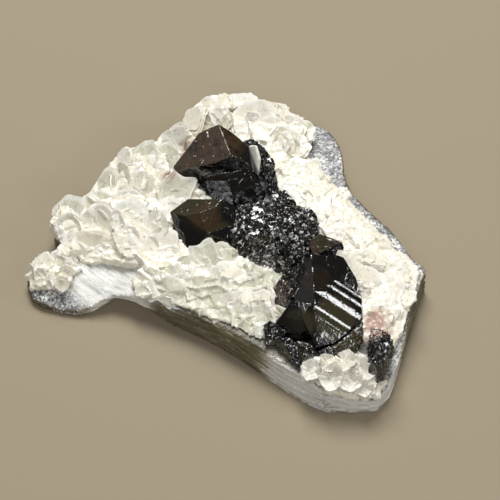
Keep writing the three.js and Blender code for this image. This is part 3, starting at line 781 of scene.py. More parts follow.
class ReliefTree:
    """Geometry Nodes: moves a fine mesh along its normals by folds, facets, steps and grain."""

    MEAN = 0.5  # the middle of a noise or random value
    BEND = 1.6  # how far noise bends the folds, as a share of their size
    CREST_BAND = 0.09  # how far from its middle value the crest noise still makes a crest
    CREST_POWER = 2.0  # how sharp a crest is
    CREST_HEIGHT = 0.35  # how far it stands above the folds, as a share of their depth
    FOLD_MEAN = 0.4  # the folds' middle height, which stays at the solid's surface
    SWAYS_PER_MM = 0.3  # the scale of the noise that bends the steps

    def __init__(self) -> None:
        """Builds the tree once, for every surface."""
        self.tree = bpy.data.node_groups.new("mineral_relief", "GeometryNodeTree")
        self.ids = declare_inputs(self.tree, {**vars(Relief()), "material": "NodeSocketMaterial"})
        given = self.tree.nodes.new("NodeGroupInput").outputs
        place = add_node(self.tree, "GeometryNodeInputPosition")
        here = add_node(self.tree, "ShaderNodeVectorMath", (place, given["seed"]), operation="ADD")
        broken = (self._facets(given, here), self._grain(given, here))
        height = add_node(self.tree, "ShaderNodeMath", broken, operation="ADD")
        height = self._masked(height, Mark.ROUGH)
        steps = self._masked(self._steps(given, here), Mark.STEPPED)
        height = add_node(self.tree, "ShaderNodeMath", (height, steps), operation="ADD")
        folds, crest = self._folds(given, here)
        height = add_node(self.tree, "ShaderNodeMath", (height, folds), operation="ADD")
        store = {"data_type": "FLOAT", "domain": "POINT"}
        marked = {"Geometry": given[0], "Name": Mark.CREST.value, "Value": crest}
        marked = add_node(self.tree, "GeometryNodeStoreNamedAttribute", marked, **store)
        normal = add_node(self.tree, "GeometryNodeInputNormal")
        move = add_node(self.tree, "ShaderNodeVectorMath", {0: normal, "Scale": height}, operation="SCALE")
        moved = add_node(self.tree, "GeometryNodeSetPosition", {"Geometry": marked, "Offset": move})
        real = add_node(self.tree, "GeometryNodeRealizeInstances", (moved,))
        dress_output(self.tree, real, given["material"])

    def _masked(self, height: Socket, mark: Mark) -> Socket:
        """Scales a height by one of the piece's marks.

        Args:
            height: the height.
            mark: the mark.

        Returns:
            The scaled height.
        """
        name = {"Name": mark.value}
        share = add_node(self.tree, "GeometryNodeInputNamedAttribute", name, data_type="FLOAT")
        return add_node(self.tree, "ShaderNodeMath", (height, share), operation="MULTIPLY")

    def _folds(self, given: Sockets, here: Socket) -> tuple[Socket, Socket]:
        """Makes crumpled folds: bent cells with a thin crest along some of them.

        Args:
            given: the tree's inputs.
            here: each point's place in the pattern.

        Returns:
            The folds' height, and the share of each place that is a crest.
        """
        scale = add_node(self.tree, "ShaderNodeMath", (1.0, given["fold_size"]), operation="DIVIDE")
        look = {"Vector": here, "Scale": scale, "Detail": 2.0}
        bend = add_node(self.tree, "ShaderNodeTexNoise", look, "Color")
        bend = add_node(self.tree, "ShaderNodeVectorMath", (bend, (self.MEAN,) * 3), operation="SUBTRACT")
        reach = add_node(self.tree, "ShaderNodeMath", (given["fold_size"], self.BEND), operation="MULTIPLY")
        bend = add_node(self.tree, "ShaderNodeVectorMath", {0: bend, "Scale": reach}, operation="SCALE")
        bent = add_node(self.tree, "ShaderNodeVectorMath", (here, bend), operation="ADD")
        look = {"Vector": bent, "Scale": scale, "Detail": 1.0, "Roughness": 0.45}
        hollow = add_node(self.tree, "ShaderNodeTexVoronoi", look, "Distance", normalize=True)
        look = {"Vector": here, "Scale": scale, "Detail": 1.5, "Distortion": 0.4}
        line = add_node(self.tree, "ShaderNodeTexNoise", look, "Fac")
        line = add_node(self.tree, "ShaderNodeMath", (line, self.MEAN), operation="SUBTRACT")
        line = add_node(self.tree, "ShaderNodeMath", (line,), operation="ABSOLUTE")
        narrow = {"Value": line, "From Max": self.CREST_BAND, "To Min": 1, "To Max": 0}
        line = add_node(self.tree, "ShaderNodeMapRange", narrow)
        crest = add_node(self.tree, "ShaderNodeMath", (line, self.CREST_POWER), operation="POWER")
        raised = (crest, self.CREST_HEIGHT, hollow)
        height = add_node(self.tree, "ShaderNodeMath", raised, operation="MULTIPLY_ADD")
        height = add_node(self.tree, "ShaderNodeMath", (height, self.FOLD_MEAN), operation="SUBTRACT")
        scaled = (height, given["fold_depth"])
        return add_node(self.tree, "ShaderNodeMath", scaled, operation="MULTIPLY"), crest

    def _facets(self, given: Sockets, here: Socket) -> Socket:
        """Makes small flat breaks: each cell of a Voronoi pattern leans its own way.

        Args:
            given: the tree's inputs.
            here: each point's place in the pattern.

        Returns:
            The facets' height.
        """
        scale = add_node(self.tree, "ShaderNodeMath", (1.0, given["facet_size"]), operation="DIVIDE")
        centre = add_node(self.tree, "ShaderNodeTexVoronoi", {"Vector": here, "Scale": scale}, "Position")
        away = add_node(self.tree, "ShaderNodeVectorMath", (here, centre), operation="SUBTRACT")
        drawn = (centre.node.outputs["Color"], (self.MEAN,) * 3)
        lean = add_node(self.tree, "ShaderNodeVectorMath", drawn, operation="SUBTRACT")
        slope = add_node(self.tree, "ShaderNodeVectorMath", (away, lean), "Value", operation="DOT_PRODUCT")
        return add_node(self.tree, "ShaderNodeMath", (slope, given["facet_tilt"]), operation="MULTIPLY")

    def _steps(self, given: Sockets, here: Socket) -> Socket:
        """Makes steps: a saw-tooth along one direction, bent a little by noise.

        Args:
            given: the tree's inputs.
            here: each point's place in the pattern.

        Returns:
            The steps' height.
        """
        look = {"Vector": here, "Scale": self.SWAYS_PER_MM, "Detail": 2.0}
        sway = add_node(self.tree, "ShaderNodeTexNoise", look, "Fac")
        along = (here, given["step_direction"])
        run = add_node(self.tree, "ShaderNodeVectorMath", along, "Value", operation="DOT_PRODUCT")
        swayed = (sway, given["step_wobble"], run)
        run = add_node(self.tree, "ShaderNodeMath", swayed, operation="MULTIPLY_ADD")
        turns = add_node(self.tree, "ShaderNodeMath", (run, given["step_pitch"]), operation="DIVIDE")
        tooth = add_node(self.tree, "ShaderNodeMath", (turns,), operation="FRACT")
        tooth = add_node(self.tree, "ShaderNodeMath", (tooth, self.MEAN), operation="SUBTRACT")
        return add_node(self.tree, "ShaderNodeMath", (tooth, given["step_height"]), operation="MULTIPLY")

    def _grain(self, given: Sockets, here: Socket) -> Socket:
        """Makes fine unevenness.

        Args:
            given: the tree's inputs.
            here: each point's place in the pattern.

        Returns:
            The grain's height.
        """
        scale = add_node(self.tree, "ShaderNodeMath", (1.0, given["grain_size"]), operation="DIVIDE")
        look = {"Vector": here, "Scale": scale, "Detail": 2.0}
        grit = add_node(self.tree, "ShaderNodeTexNoise", look, "Fac")
        grit = add_node(self.tree, "ShaderNodeMath", (grit, self.MEAN), operation="SUBTRACT")
        return add_node(self.tree, "ShaderNodeMath", (grit, given["grain_depth"]), operation="MULTIPLY")

    def apply(self, piece: bpy.types.Object, relief: Relief, material: bpy.types.Material) -> None:
        """Gives a piece its relief, as real geometry.

        Args:
            piece: the fine mesh, in millimetres.
            relief: the depths and sizes.
            material: what the piece is made of.
        """
        run_tree(piece, self.tree, self.ids, {**vars(relief), "material": material})


@dataclass(frozen=True)
class Scatter:
    """The values of the scatter tree for one round of loose books.

    Attributes:
        spacing: the least distance between two books in millimetres.
        least: the width of the smallest book in millimetres.
        most: the width of the largest one.
        wobble: how far a book tilts at random, in radians.
        outward: how far the books lean outwards, as a slope.
        lift: how far they stand above the crust, as a share of their width.
        silvery: the lowest tone.
        creamy: the highest tone.
        seed: makes the places and sizes its own.
    """

    spacing: float = 3.0
    least: float = 0.6
    most: float = 1.2
    wobble: float = 0.3
    outward: float = 0.3
    lift: float = 0.0
    silvery: float = 0.1
    creamy: float = 0.8
    seed: int = 1


@dataclass(frozen=True)
class Supply:
    """What the scatter tree sets over a crust, and from where.

    Attributes:
        centre: the point that the books lean away from, in millimetres.
        books: the collection of loose books to choose from.
        material: what the books are made of.
        large: the large books, which are joined to the crust after the loose ones.
    """

    centre: Point
    books: bpy.types.Collection
    material: bpy.types.Material
    large: bpy.types.Object | None = None


class ScatterTree:
    """Geometry Nodes: sets loose mica books over a crust, leaning outwards, and joins them to it."""

    UPWARD = 0.3  # the least upward part of the normal where a book may sit
    DENSITY = 5.0  # the points for each square millimetre that the spacing thins out

    def __init__(self) -> None:
        """Builds the tree once, for every crust."""
        self.tree = bpy.data.node_groups.new("mica_scatter", "GeometryNodeTree")
        sockets = {
            "centre": "NodeSocketVector",
            "books": "NodeSocketCollection",
            "large": "NodeSocketObject",
            "material": "NodeSocketMaterial",
        }
        self.ids = declare_inputs(self.tree, {**vars(Scatter()), **sockets})
        given = self.tree.nodes.new("NodeGroupInput").outputs
        normal = add_node(self.tree, "GeometryNodeInputNormal")
        normal = add_node(self.tree, "ShaderNodeSeparateXYZ", (normal,), "Z")
        upward = add_node(self.tree, "FunctionNodeCompare", (normal, self.UPWARD), operation="GREATER_THAN")
        spots = {
            "Mesh": given[0],
            "Selection": upward,
            "Distance Min": given["spacing"],
            "Density Max": self.DENSITY,
            "Seed": given["seed"],
        }
        kind = "GeometryNodeDistributePointsOnFaces"
        points = add_node(self.tree, kind, spots, "Points", distribute_method="POISSON")
        books = self._books(given, points)
        large = add_node(self.tree, "GeometryNodeObjectInfo", {"Object": given["large"]}, "Geometry")
        joined = add_node(self.tree, "GeometryNodeJoinGeometry")
        for part in (given[0], books, large):
            fill(joined.node, (part,))
        dress_output(self.tree, joined, given["material"])

    def _books(self, given: Sockets, points: Socket) -> Socket:
        """Sets a book on each point, with its own size, turn and tone, as real geometry.

        Args:
            given: the tree's inputs.
            points: the points.

        Returns:
            The books' geometry.
        """
        low = {"Min_001": given["least"], "Max_001": given["most"], "Seed": given["seed"]}
        size = add_node(self.tree, "FunctionNodeRandomValue", low, "Value_001", data_type="FLOAT")
        kinds = {"Collection": given["books"], "Separate Children": True, "Reset Children": True}
        spread = {
            "Points": points,
            "Instance": add_node(self.tree, "GeometryNodeCollectionInfo", kinds),
            "Pick Instance": True,
            "Rotation": self._rotation(given, points.node.outputs["Normal"]),
            "Scale": size,
        }
        books = add_node(self.tree, "GeometryNodeInstanceOnPoints", spread)
        rise = add_node(self.tree, "ShaderNodeCombineXYZ", {2: given["lift"]})
        raised = {"Instances": books, "Translation": rise, "Local Space": True}
        books = add_node(self.tree, "GeometryNodeTranslateInstances", raised)
        tones = {"Min_001": given["silvery"], "Max_001": given["creamy"], "Seed": given["seed"]}
        tone = add_node(self.tree, "FunctionNodeRandomValue", tones, "Value_001", data_type="FLOAT")
        toned = {"Geometry": books, "Name": Mark.TONE.value, "Value": tone}
        store = {"data_type": "FLOAT", "domain": "INSTANCE"}
        books = add_node(self.tree, "GeometryNodeStoreNamedAttribute", toned, **store)
        return add_node(self.tree, "GeometryNodeRealizeInstances", (books,))

    def _rotation(self, given: Sockets, normal: Socket) -> Socket:
        """Turns a book's face along the crust's normal, then outwards and a little at random.

        Args:
            given: the tree's inputs.
            normal: the crust's normal at each point.

        Returns:
            The rotation.
        """
        place = add_node(self.tree, "GeometryNodeInputPosition")
        away = add_node(self.tree, "ShaderNodeVectorMath", (place, given["centre"]), operation="SUBTRACT")
        away = add_node(self.tree, "ShaderNodeVectorMath", (away, (1.0, 1.0, 0.0)), operation="MULTIPLY")
        away = add_node(self.tree, "ShaderNodeVectorMath", (away,), operation="NORMALIZE")
        push = {0: away, "Scale": given["outward"]}
        away = add_node(self.tree, "ShaderNodeVectorMath", push, operation="SCALE")
        facing = add_node(self.tree, "ShaderNodeVectorMath", (normal, away), operation="ADD")
        turned = add_node(self.tree, "FunctionNodeAlignRotationToVector", {"Vector": facing}, axis="Z")
        most = add_node(self.tree, "ShaderNodeCombineXYZ", (given["wobble"], given["wobble"], math.pi))
        least = add_node(self.tree, "ShaderNodeVectorMath", {0: most, "Scale": -1.0}, operation="SCALE")
        draw = {"Min": least, "Max": most, "Seed": given["seed"]}
        spin = add_node(self.tree, "FunctionNodeRandomValue", draw, "Value", data_type="FLOAT_VECTOR")
        spin = add_node(self.tree, "FunctionNodeEulerToRotation", (spin,))
        return add_node(self.tree, "FunctionNodeRotateRotation", (turned, spin), rotation_space="LOCAL")

    def apply(self, piece: bpy.types.Object, scatter: Scatter, supply: Supply) -> None:
        """Sets books over a crust, as real geometry.

        Args:
            piece: the crust, in millimetres.
            scatter: spacing, sizes and angles.
            supply: the books, their centre and their material.
        """
        run_tree(piece, self.tree, self.ids, {**vars(scatter), **vars(supply)})


def bake(piece: bpy.types.Object) -> None:
    """Turns a piece's modifiers into plain geometry and removes them.

    Args:
        piece: the piece.
    """
    bpy.context.view_layer.update()
    made = bpy.data.meshes.new_from_object(piece.evaluated_get(bpy.context.evaluated_depsgraph_get()))
    piece.modifiers.clear()
    piece.data = made


def add_piece(name: str, mesh: bpy.types.Mesh) -> bpy.types.Object:
    """Puts a mesh in the scene as an object at the origin.

    Args:
        name: the object's name.
        mesh: the mesh.

    Returns:
        The object.
    """
    piece = bpy.data.objects.new(name, mesh)
    bpy.context.scene.collection.objects.link(piece)
    return piece


def points_of(mesh: bpy.types.Mesh) -> np.ndarray:
    """Reads a mesh's points.

    Args:
        mesh: the mesh.

    Returns:
        A row of three numbers for each point.
    """
    spots = np.zeros(len(mesh.vertices) * 3, np.float32)
    mesh.vertices.foreach_get("co", spots)
    return spots.reshape(-1, 3)


def paint(mesh: bpy.types.Mesh, mark: Mark, values: np.ndarray | float) -> None:
    """Stores a number on each of a mesh's points.

    Args:
        mesh: the mesh.
        mark: what the number says.
        values: one number for each point, or one for all.
    """
    values = np.broadcast_to(np.float32(values), len(mesh.vertices)).astype(np.float32)
    store = mesh.attributes.get(mark.value) or mesh.attributes.new(mark.value, "FLOAT", "POINT")
    store.data.foreach_set("value", values)


@dataclass(frozen=True)
class Zone:
    """A ball in which a value holds, fading at its edge.

    Attributes:
        centre: its middle, in millimetres.
        radius: its radius, in millimetres.
        value: the value.
        fade: the width of the band around the radius in which it fades, as a share of the radius.
    """

    centre: Point
    radius: float
    value: float = 1.0
    fade: float = 0.3

    def share(self, spots: np.ndarray) -> np.ndarray:
        """Works out how far each point is in the zone.

        Args:
            spots: the points, in millimetres.

        Returns:
            A share from 0 to 1 for each point.
        """
        far = np.linalg.norm(spots - np.array(self.centre, np.float32), axis=1) / self.radius
        return np.clip((1 + self.fade / 2 - far) / self.fade, 0, 1)


def blend_zones(spots: np.ndarray, zones: tuple[Zone, ...], base: float = 0.0) -> np.ndarray:
    """Works out a value from the zones that reach each point.

    Args:
        spots: the points, in millimetres.
        zones: the zones, of which a later one covers an earlier one.
        base: the value outside them.

    Returns:
        One value for each point.
    """
    values = np.full(len(spots), base, np.float32)
    for zone in zones:
        values += zone.share(spots) * (zone.value - values)
    return values


def solid_copy(node: str) -> bpy.types.Mesh:
    """Copies a node's solid, merged and in millimetres.

    Args:
        node: the CAD node's name.

    Returns:
        A closed mesh of its own.
    """
    mesh = frame["nodes"][node].data.copy()
    mesh.materials.clear()
    mesh.transform(Matrix.Scale(1 / MM, 4))
    work = bmesh.new()
    work.from_mesh(mesh)
    bmesh.ops.remove_doubles(work, verts=work.verts, dist=MERGE_MM)
    work.to_mesh(mesh)
    work.free()
    return mesh


def solid_tree(solid: bpy.types.Mesh) -> BVHTree:
    """Makes a search tree over a solid's faces.

    Args:
        solid: the solid's mesh.

    Returns:
        The tree.
    """
    work = bmesh.new()
    work.from_mesh(solid)
    tree = BVHTree.FromBMesh(work)
    work.free()
    return tree


def fine_copy(name: str, node: str, voxel: float, snap: bool = True) -> tuple[bpy.types.Object, BVHTree]:
    """Lays an even fine mesh over a node's solid, flat where the solid is flat.

    Args:
        name: the new piece's name.
        node: the CAD node's name.
        voxel: the mesh's edge length in millimetres.
        snap: whether its points are moved onto the solid's own faces.

    Returns:
        The new piece, in millimetres, and a search tree over the solid.
    """
    solid = solid_copy(node)
    tree = solid_tree(solid)
    piece = add_piece(name, solid)
    shaper = piece.modifiers.new("even", "REMESH")
    shaper.mode = "VOXEL"
    shaper.voxel_size = voxel * 1.0
    bake(piece)
    if snap:
        for vertex in piece.data.vertices:
            vertex.co = tree.find_nearest(vertex.co)[0]
    return piece, tree


def finish_piece(piece: bpy.types.Object, node: str, smooth_below: float = 0.0) -> None:
    """Turns a finished piece to metres and ties it to the frame.

    Args:
        piece: the piece, in millimetres.
        node: the CAD node that it stands for.
        smooth_below: the angle in degrees under which its shading runs smoothly over an edge.
    """
    piece.data.transform(Matrix.Scale(MM, 4))
    if smooth_below:
        piece.data.shade_smooth()
        piece.data.set_sharp_from_angle(angle=math.radians(smooth_below))
    else:
        piece.data.shade_flat()
    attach(piece, BODY)
    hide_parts(node)
    piece.data.calc_loop_triangles()
    log.info("%s: %d triangles", piece.name, len(piece.data.loop_triangles))


@dataclass(frozen=True)
class SchistSlab:
    """The matrix: a slab of schist with layered walls and a flaky upper face.

    Attributes:
        node: the CAD node.
        voxel: the fine mesh's edge length in millimetres.
        silky: where the upper face is drawn out and silky.
        pale_wall: where the walls are paler, partly as thin silvery layers and partly as painted light.
        worn_edge: where the upper edge takes the walls' layered colours, with their painted shade.
        steep: the upward part of the normal at which a wall begins, and the one where it is full.
        broken: how rough the bare rock is.
        wall_calm: how much less rough a wall is.
        silk_calm: how much less rough the silky patch is.
        smooth_below: the angle in degrees under which shading runs smoothly over an edge.
        relief: its relief.
    """

    node: str = "schist_slab"
    voxel: float = 0.48
    silky: Zone = Zone((-24.0, -8.0, 8.0), 12.0)
    # paler towards the corner: partly thin silvery layers, partly painted light
    pale_wall: Zone = Zone((24.0, -38.0, 5.0), 17.0, 0.9)
    worn_edge: tuple[Zone, ...] = (
        Zone((-6.0, -20.0, 7.5), 4.0, 0.8),
        Zone((0.0, -24.0, 8.0), 4.0, 0.8),
        Zone((6.0, -28.0, 8.0), 4.5, 0.8),
        Zone((11.5, -32.5, 8.0), 4.5, 0.8),
    )
    steep: tuple[float, float] = (0.75, 0.45)
    broken: float = 0.9
    wall_calm: float = 0.4
    silk_calm: float = 0.5
    smooth_below: float = 35.0
    relief: Relief = Relief(
        fold_size=5.0,
        fold_depth=0.12,
        facet_size=1.1,
        facet_tilt=0.45,
        step_direction=(0.05, 0.03, 1.0),
        step_pitch=1.3,
        step_height=0.35,
        step_wobble=1.6,
        grain_size=0.8,
        grain_depth=0.25,
        seed=3.0,
    )

    def build(self, tree: ReliefTree, material: bpy.types.Material) -> None:
        """Builds the slab's rock surface, which keeps its flat foot.

        Args:
            tree: the relief tree.
            material: the schist.
        """
        piece, solid = fine_copy("schist_slab_rock", self.node, self.voxel, snap=False)
        self._mark(piece.data, solid)
        tree.apply(piece, self.relief, material)
        for vertex in piece.data.vertices:
            vertex.co.z = max(vertex.co.z, 0.0)
        finish_piece(piece, self.node, self.smooth_below)

    def _mark(self, mesh: bpy.types.Mesh, solid: BVHTree) -> None:
        """Marks the walls, the silky patch and the rough face.

        Args:
            mesh: the fine mesh.
            solid: a search tree over the solid.
        """
        spots = points_of(mesh)
        upright = np.array([solid.find_nearest(Vector(spot))[1].z for spot in spots.tolist()])
        start, full = self.steep
        wall = np.clip((start - upright) / (start - full), 0, 1)
        silky = blend_zones(spots, (self.silky,)) + wall * blend_zones(spots, (self.pale_wall,))
        paint(mesh, Mark.WALL, np.maximum(wall, blend_zones(spots, self.worn_edge)))
        paint(mesh, Mark.SILKY, silky)
        paint(mesh, Mark.ROUGH, np.clip(self.broken - self.wall_calm * wall - self.silk_calm * silky, 0, 1))
        paint(mesh, Mark.STEPPED, wall)


@dataclass(frozen=True)
class Crystal:
    """A cassiterite crystal with its own relief and zones of colour, roughness and crust.

    Brown and olive are painted only on its upper faces, as painted light where those faces catch the lamps.

    Attributes:
        node: the CAD node.
        relief: its relief.
        zones: where each mark holds.
        roughness: how rough it is outside its rough zones.
        voxel: the fine mesh's edge length in millimetres.
        level: the upward part of the normal where an upper face begins, and where it is full; only such
            faces get the brown and olive painted light.
    """

    node: str
    relief: Relief
    zones: dict[Mark, tuple[Zone, ...]] = field(default_factory=dict)
    roughness: float = 0.15
    voxel: float = 0.18
    level: tuple[float, float] = (0.6, 0.8)

    def build(self, tree: ReliefTree, material: bpy.types.Material) -> None:
        """Builds the crystal's faces.

        Args:
            tree: the relief tree.
            material: the cassiterite.
        """
        piece, _ = fine_copy(self.node + "_faces", self.node, self.voxel)
        self._mark(piece.data)
        tree.apply(piece, self.relief, material)
        finish_piece(piece, self.node)

    def _mark(self, mesh: bpy.types.Mesh) -> None:
        """Marks the crystal's zones.

        Args:
            mesh: the fine mesh.
        """
        spots = points_of(mesh)
        normals = np.empty(len(spots) * 3, np.float32)
        mesh.vertex_normals.foreach_get("vector", normals)
        start, full = self.level
        # brown and olive go only where a face looks up towards the lamps: painted light
        lit_upper_faces = np.clip((normals[2::3] - start) / (full - start), 0, 1)
        for mark in (Mark.BROWN, Mark.OLIVE, Mark.CRUSTY, Mark.ROUGH):
            base = self.roughness if mark is Mark.ROUGH else 0.0
            share = blend_zones(spots, self.zones.get(mark, ()), base)
            paint(mesh, mark, share * lit_upper_faces if mark in (Mark.BROWN, Mark.OLIVE) else share)
        paint(mesh, Mark.STEPPED, 1.0)


Sheet = tuple[np.ndarray, np.ndarray, list[tuple[int, ...]]]  # its points, their leaf marks, its faces
OUTLINE_WAVES = range(2, 9)  # how often the waves of a book's outline go round it
OUTLINE_HEIGHT = (0.03, 0.1)  # the range of their height
OUTLINE_FALL = 0.7  # how quickly the finer ones get lower
EDGE_SWAY = 0.25  # how far straight edges are turned by another wave, in radians
EDGE_REACH = 1.08  # how much larger straight edges make the outline
CHIP_REACH = (0.72, 0.95)  # the range of a chip's distance from the middle
CRIMP_WAVES = range(3, 10)  # how often the waves of a book's rim go round it
CRIMP_HEIGHT = (0.3, 1.0)  # the range of their height, before the finer ones get lower
TERRACE_SPREAD = (0.6, 1.4)  # the range of a sheet's own share of the terrace
FULL_TURN = 6.28  # the end of the range from which a wave's start is drawn
LEAF_RANGE = 90.0  # the same for the number that makes a sheet's fibres its own
RIM_RINGS = ((0.5, 1.0), (1.0, 0.97))  # how deep each ring lies in the sheet, and its share of the reach


@dataclass(frozen=True)
class Book:
    """One mica book: a thin stack of sheets with a rounded or broken outline and stepped edges.

    Attributes:
        spot: the middle of its face, in millimetres.
        width: its width.
        tilt: the tilt of its face from level, in degrees.
        lean: the compass direction that its face leans towards, anticlockwise from +X.
        tone: its look.
        long: its length down the slope as a share of its width.
        cup: how far its rim rises above its middle, as a share of its width.
        crumple: how far its rim is bent, as a share of its width.
        sheets: how many sheets it shows.
        thick: the thickness of one sheet in millimetres.
        edges: how many straight edges it has, or 0 for a rounded outline.
        chips: how many straight breaks cut a rounded outline.
        pleats: how many pleats fan out over it.
        pleat: their height as a share of its width.
        terrace: how much each sheet is smaller than the one below it.
        rings: how many rings of points shape its face.
        sides: how many points are on each ring.
        ragged: how far each corner of a sheet strays, as a share of half the width.
        slip: how far a sheet slides at most, as a share of the width.
        pitch: the distance from sheet to sheet, as a share of a sheet's thickness.
    """

    spot: Point
    width: float
    tilt: float
    lean: float
    tone: Tone = Tone.CREAM
    long: float = 1.0
    cup: float = 0.03
    crumple: float = 0.012
    sheets: int = 3
    thick: float = 0.3
    edges: int = 0
    chips: int = 2
    pleats: int = 0
    pleat: float = 0.03
    terrace: float = 0.06
    rings: int = 8
    sides: int = 40
    ragged: float = 0.008
    slip: float = 0.03
    pitch: float = 1.05

    def stack(self, seed: int) -> list[Sheet]:
        """Shapes the book's sheets, each a little smaller and turned from the one below it.

        Args:
            seed: makes each book's outline its own.

        Returns:
            The sheets, from the top.
        """
        rng = np.random.default_rng(seed)
        turn = np.arange(self.sides) / self.sides * 2 * math.pi
        outline = self._outline(rng, turn)
        crimp = self._crimp(rng, turn)
        sheets = []
        for level in range(self.sheets):
            size = 1 - self.terrace * (self.sheets - 1 - level) * rng.uniform(*TERRACE_SPREAD)
            torn = size * outline + rng.normal(0, self.ragged, self.sides)
            torn = np.roll(torn, int(rng.integers(-1, 2)))
            slide = rng.uniform(-self.slip, self.slip, 2) * self.width
            sheets.append(self._sheet(turn, torn, crimp, slide, level, rng.uniform(0, LEAF_RANGE)))
        return sheets

    def _outline(self, rng: np.random.Generator, turn: np.ndarray) -> np.ndarray:
        """Draws the outline: a wavy round, bent to straight edges, cut by chips.

        Args:
            rng: the source of chance.
            turn: the angle of each corner.

        Returns:
            The reach of each corner as a share of half the width.
        """
        outline = np.ones(self.sides)
        for wave in OUTLINE_WAVES:
            size = rng.uniform(*OUTLINE_HEIGHT) / wave**OUTLINE_FALL
            outline += size * np.cos(wave * turn + rng.uniform(0, FULL_TURN))
        if self.edges:
            side = 2 * math.pi / self.edges
            bent = turn + EDGE_SWAY * np.cos(2 * turn + rng.uniform(0, FULL_TURN)) + rng.uniform(0, side)
            outline *= math.cos(side / 2) / np.cos(np.mod(bent, side) - side / 2) * EDGE_REACH
        for _ in range(self.chips):
            away = np.maximum(np.cos(turn - rng.uniform(0, FULL_TURN)), 0.1)
            outline = np.minimum(outline, rng.uniform(*CHIP_REACH) / away)
        return outline

    def _crimp(self, rng: np.random.Generator, turn: np.ndarray) -> np.ndarray:
        """Draws the rim's bends: even pleats with uneven waves over them.

        Args:
            rng: the source of chance.
            turn: the angle of each corner.

        Returns:
            How far the rim bends at each corner, as a share of the crumple.
        """
        crimp = self.pleat / max(self.crumple, 0.001) * np.cos(self.pleats * turn) * (self.pleats > 0)
        for wave in CRIMP_WAVES:
            size = rng.uniform(*CRIMP_HEIGHT) / wave * CRIMP_WAVES.start
            crimp += size * np.cos(wave * turn + rng.uniform(0, FULL_TURN))
        return crimp

    def _sheet(
        self,
        turn: np.ndarray,
        outline: np.ndarray,
        crimp: np.ndarray,
        slide: np.ndarray,
        level: int,
        seed: float,
    ) -> Sheet:
        """Shapes one sheet: its face, a thin rim below it and the middle of its back.

        Args:
            turn: the angle of each corner.
            outline: the reach of each corner as a share of half the width.
            crimp: how far the rim bends at each corner.
            slide: how far the sheet has slid from the book's middle.
            level: its place in the stack, from the top.
            seed: makes its fibres its own.

        Returns:
            The sheet.
        """
        half = self.width / 2
        layers, leaf = [], []
        x, y = np.cos(turn), np.sin(turn)
        for r in np.linspace(0, 1, self.rings + 1)[1:]:
            height = (self.cup * r**2 + self.crumple * r**1.5 * crimp) * self.width
            across = half * outline * r
            layers.append(np.column_stack([self.long * across * x, across * y, height]))
            leaf.append(np.column_stack([r * x, r * y, np.full(self.sides, seed)]))
        rim = layers[-1]
        for drop, share in RIM_RINGS:
            ring = rim.copy()
            ring[:, :2] *= share
            ring[:, 2] -= self.thick * drop
            layers.append(ring)
            leaf.append(leaf[self.rings - 1])
        points = np.vstack([[[0.0, 0.0, 0.0]], *layers, [[0.0, 0.0, -self.thick]]])
        points[:, 2] -= level * self.thick * self.pitch
        points[:, :2] += slide
        leaf = np.vstack([[[0, 0, seed]], *leaf, [[0, 0, seed]]])
        return points @ self._turned().T + np.array(self.spot), leaf, self._faces(len(layers))

    def _turned(self) -> np.ndarray:
        """Works out the book's rotation, as a matrix of three rows."""
        lying = Matrix.Rotation(math.radians(self.tilt), 3, "Y")
        return np.array(Matrix.Rotation(math.radians(self.lean), 3, "Z") @ lying)

    def _faces(self, rings: int) -> list[tuple[int, ...]]:
        """Lays faces between the rings, from the middle of the face to the middle of the back.

        Args:
            rings: how many rings there are.

        Returns:
            The faces.
        """
        n = self.sides
        faces = [(0, 1 + i, 1 + (i + 1) % n) for i in range(n)]
        for r in range(rings - 1):
            here, below = 1 + r * n, 1 + (r + 1) * n
            faces += [(here + i, below + i, below + (i + 1) % n, here + (i + 1) % n) for i in range(n)]
        last = 1 + (rings - 1) * n
        faces += [(last + (i + 1) % n, last + i, last + n) for i in range(n)]
        return faces


def mesh_of_books(name: str, books: tuple[Book, ...], seed: int) -> bpy.types.Mesh:
    """Joins books into one mesh that carries their tones and leaf values.

    Args:
        name: the mesh's name.
        books: the books.
        seed: the first book's seed.

    Returns:
        The mesh, in millimetres.
    """
    points, leaves, faces, tones, count = [], [], [], [], 0
    for number, book in enumerate(books):
        for spots, leaf, sides in book.stack(seed + number):
            points.append(spots)
            leaves.append(leaf)
            faces += [tuple(i + count for i in side) for side in sides]
            tones.append(np.full(len(spots), book.tone.value, np.float32))
            count += len(spots)
    mesh = bpy.data.meshes.new(name)
    mesh.from_pydata(np.vstack(points).tolist(), [], faces)
    paint(mesh, Mark.TONE, np.concatenate(tones))
    leaf = mesh.attributes.new(Mark.LEAF.value, "FLOAT_VECTOR", "POINT")
    leaf.data.foreach_set("vector", np.vstack(leaves).astype(np.float32).ravel())
    return mesh


class LooseBooks:
    """The few book shapes that the scatter tree chooses from, one millimetre wide."""

    KINDS = 8  # how many shapes there are
    FIRST_SEED = 500  # the first shape's seed

    def __init__(self) -> None:
        """Makes the shapes in a collection of their own, each with a few dozen faces."""
        self.collection = bpy.data.collections.new("loose_books")
        small = Book((0, 0, 0), 1.0, 0, 0, sheets=1, thick=0.07, rings=2, sides=14, crumple=0.03, chips=1)
        for kind in range(self.KINDS):
            book = replace(small, cup=0.01 * kind, edges=4 * (kind % 2))
            mesh = mesh_of_books(f"loose_book_{kind}", (book,), self.FIRST_SEED + kind)
            mesh.attributes.remove(mesh.attributes[Mark.TONE.value])
            self.collection.objects.link(bpy.data.objects.new(f"loose_book_{kind}", mesh))

    def discard(self) -> None:
        """Removes the shapes once the crusts hold real copies of them."""
        for item in list(self.collection.objects):
            bpy.data.objects.remove(item)
        bpy.data.collections.remove(self.collection)


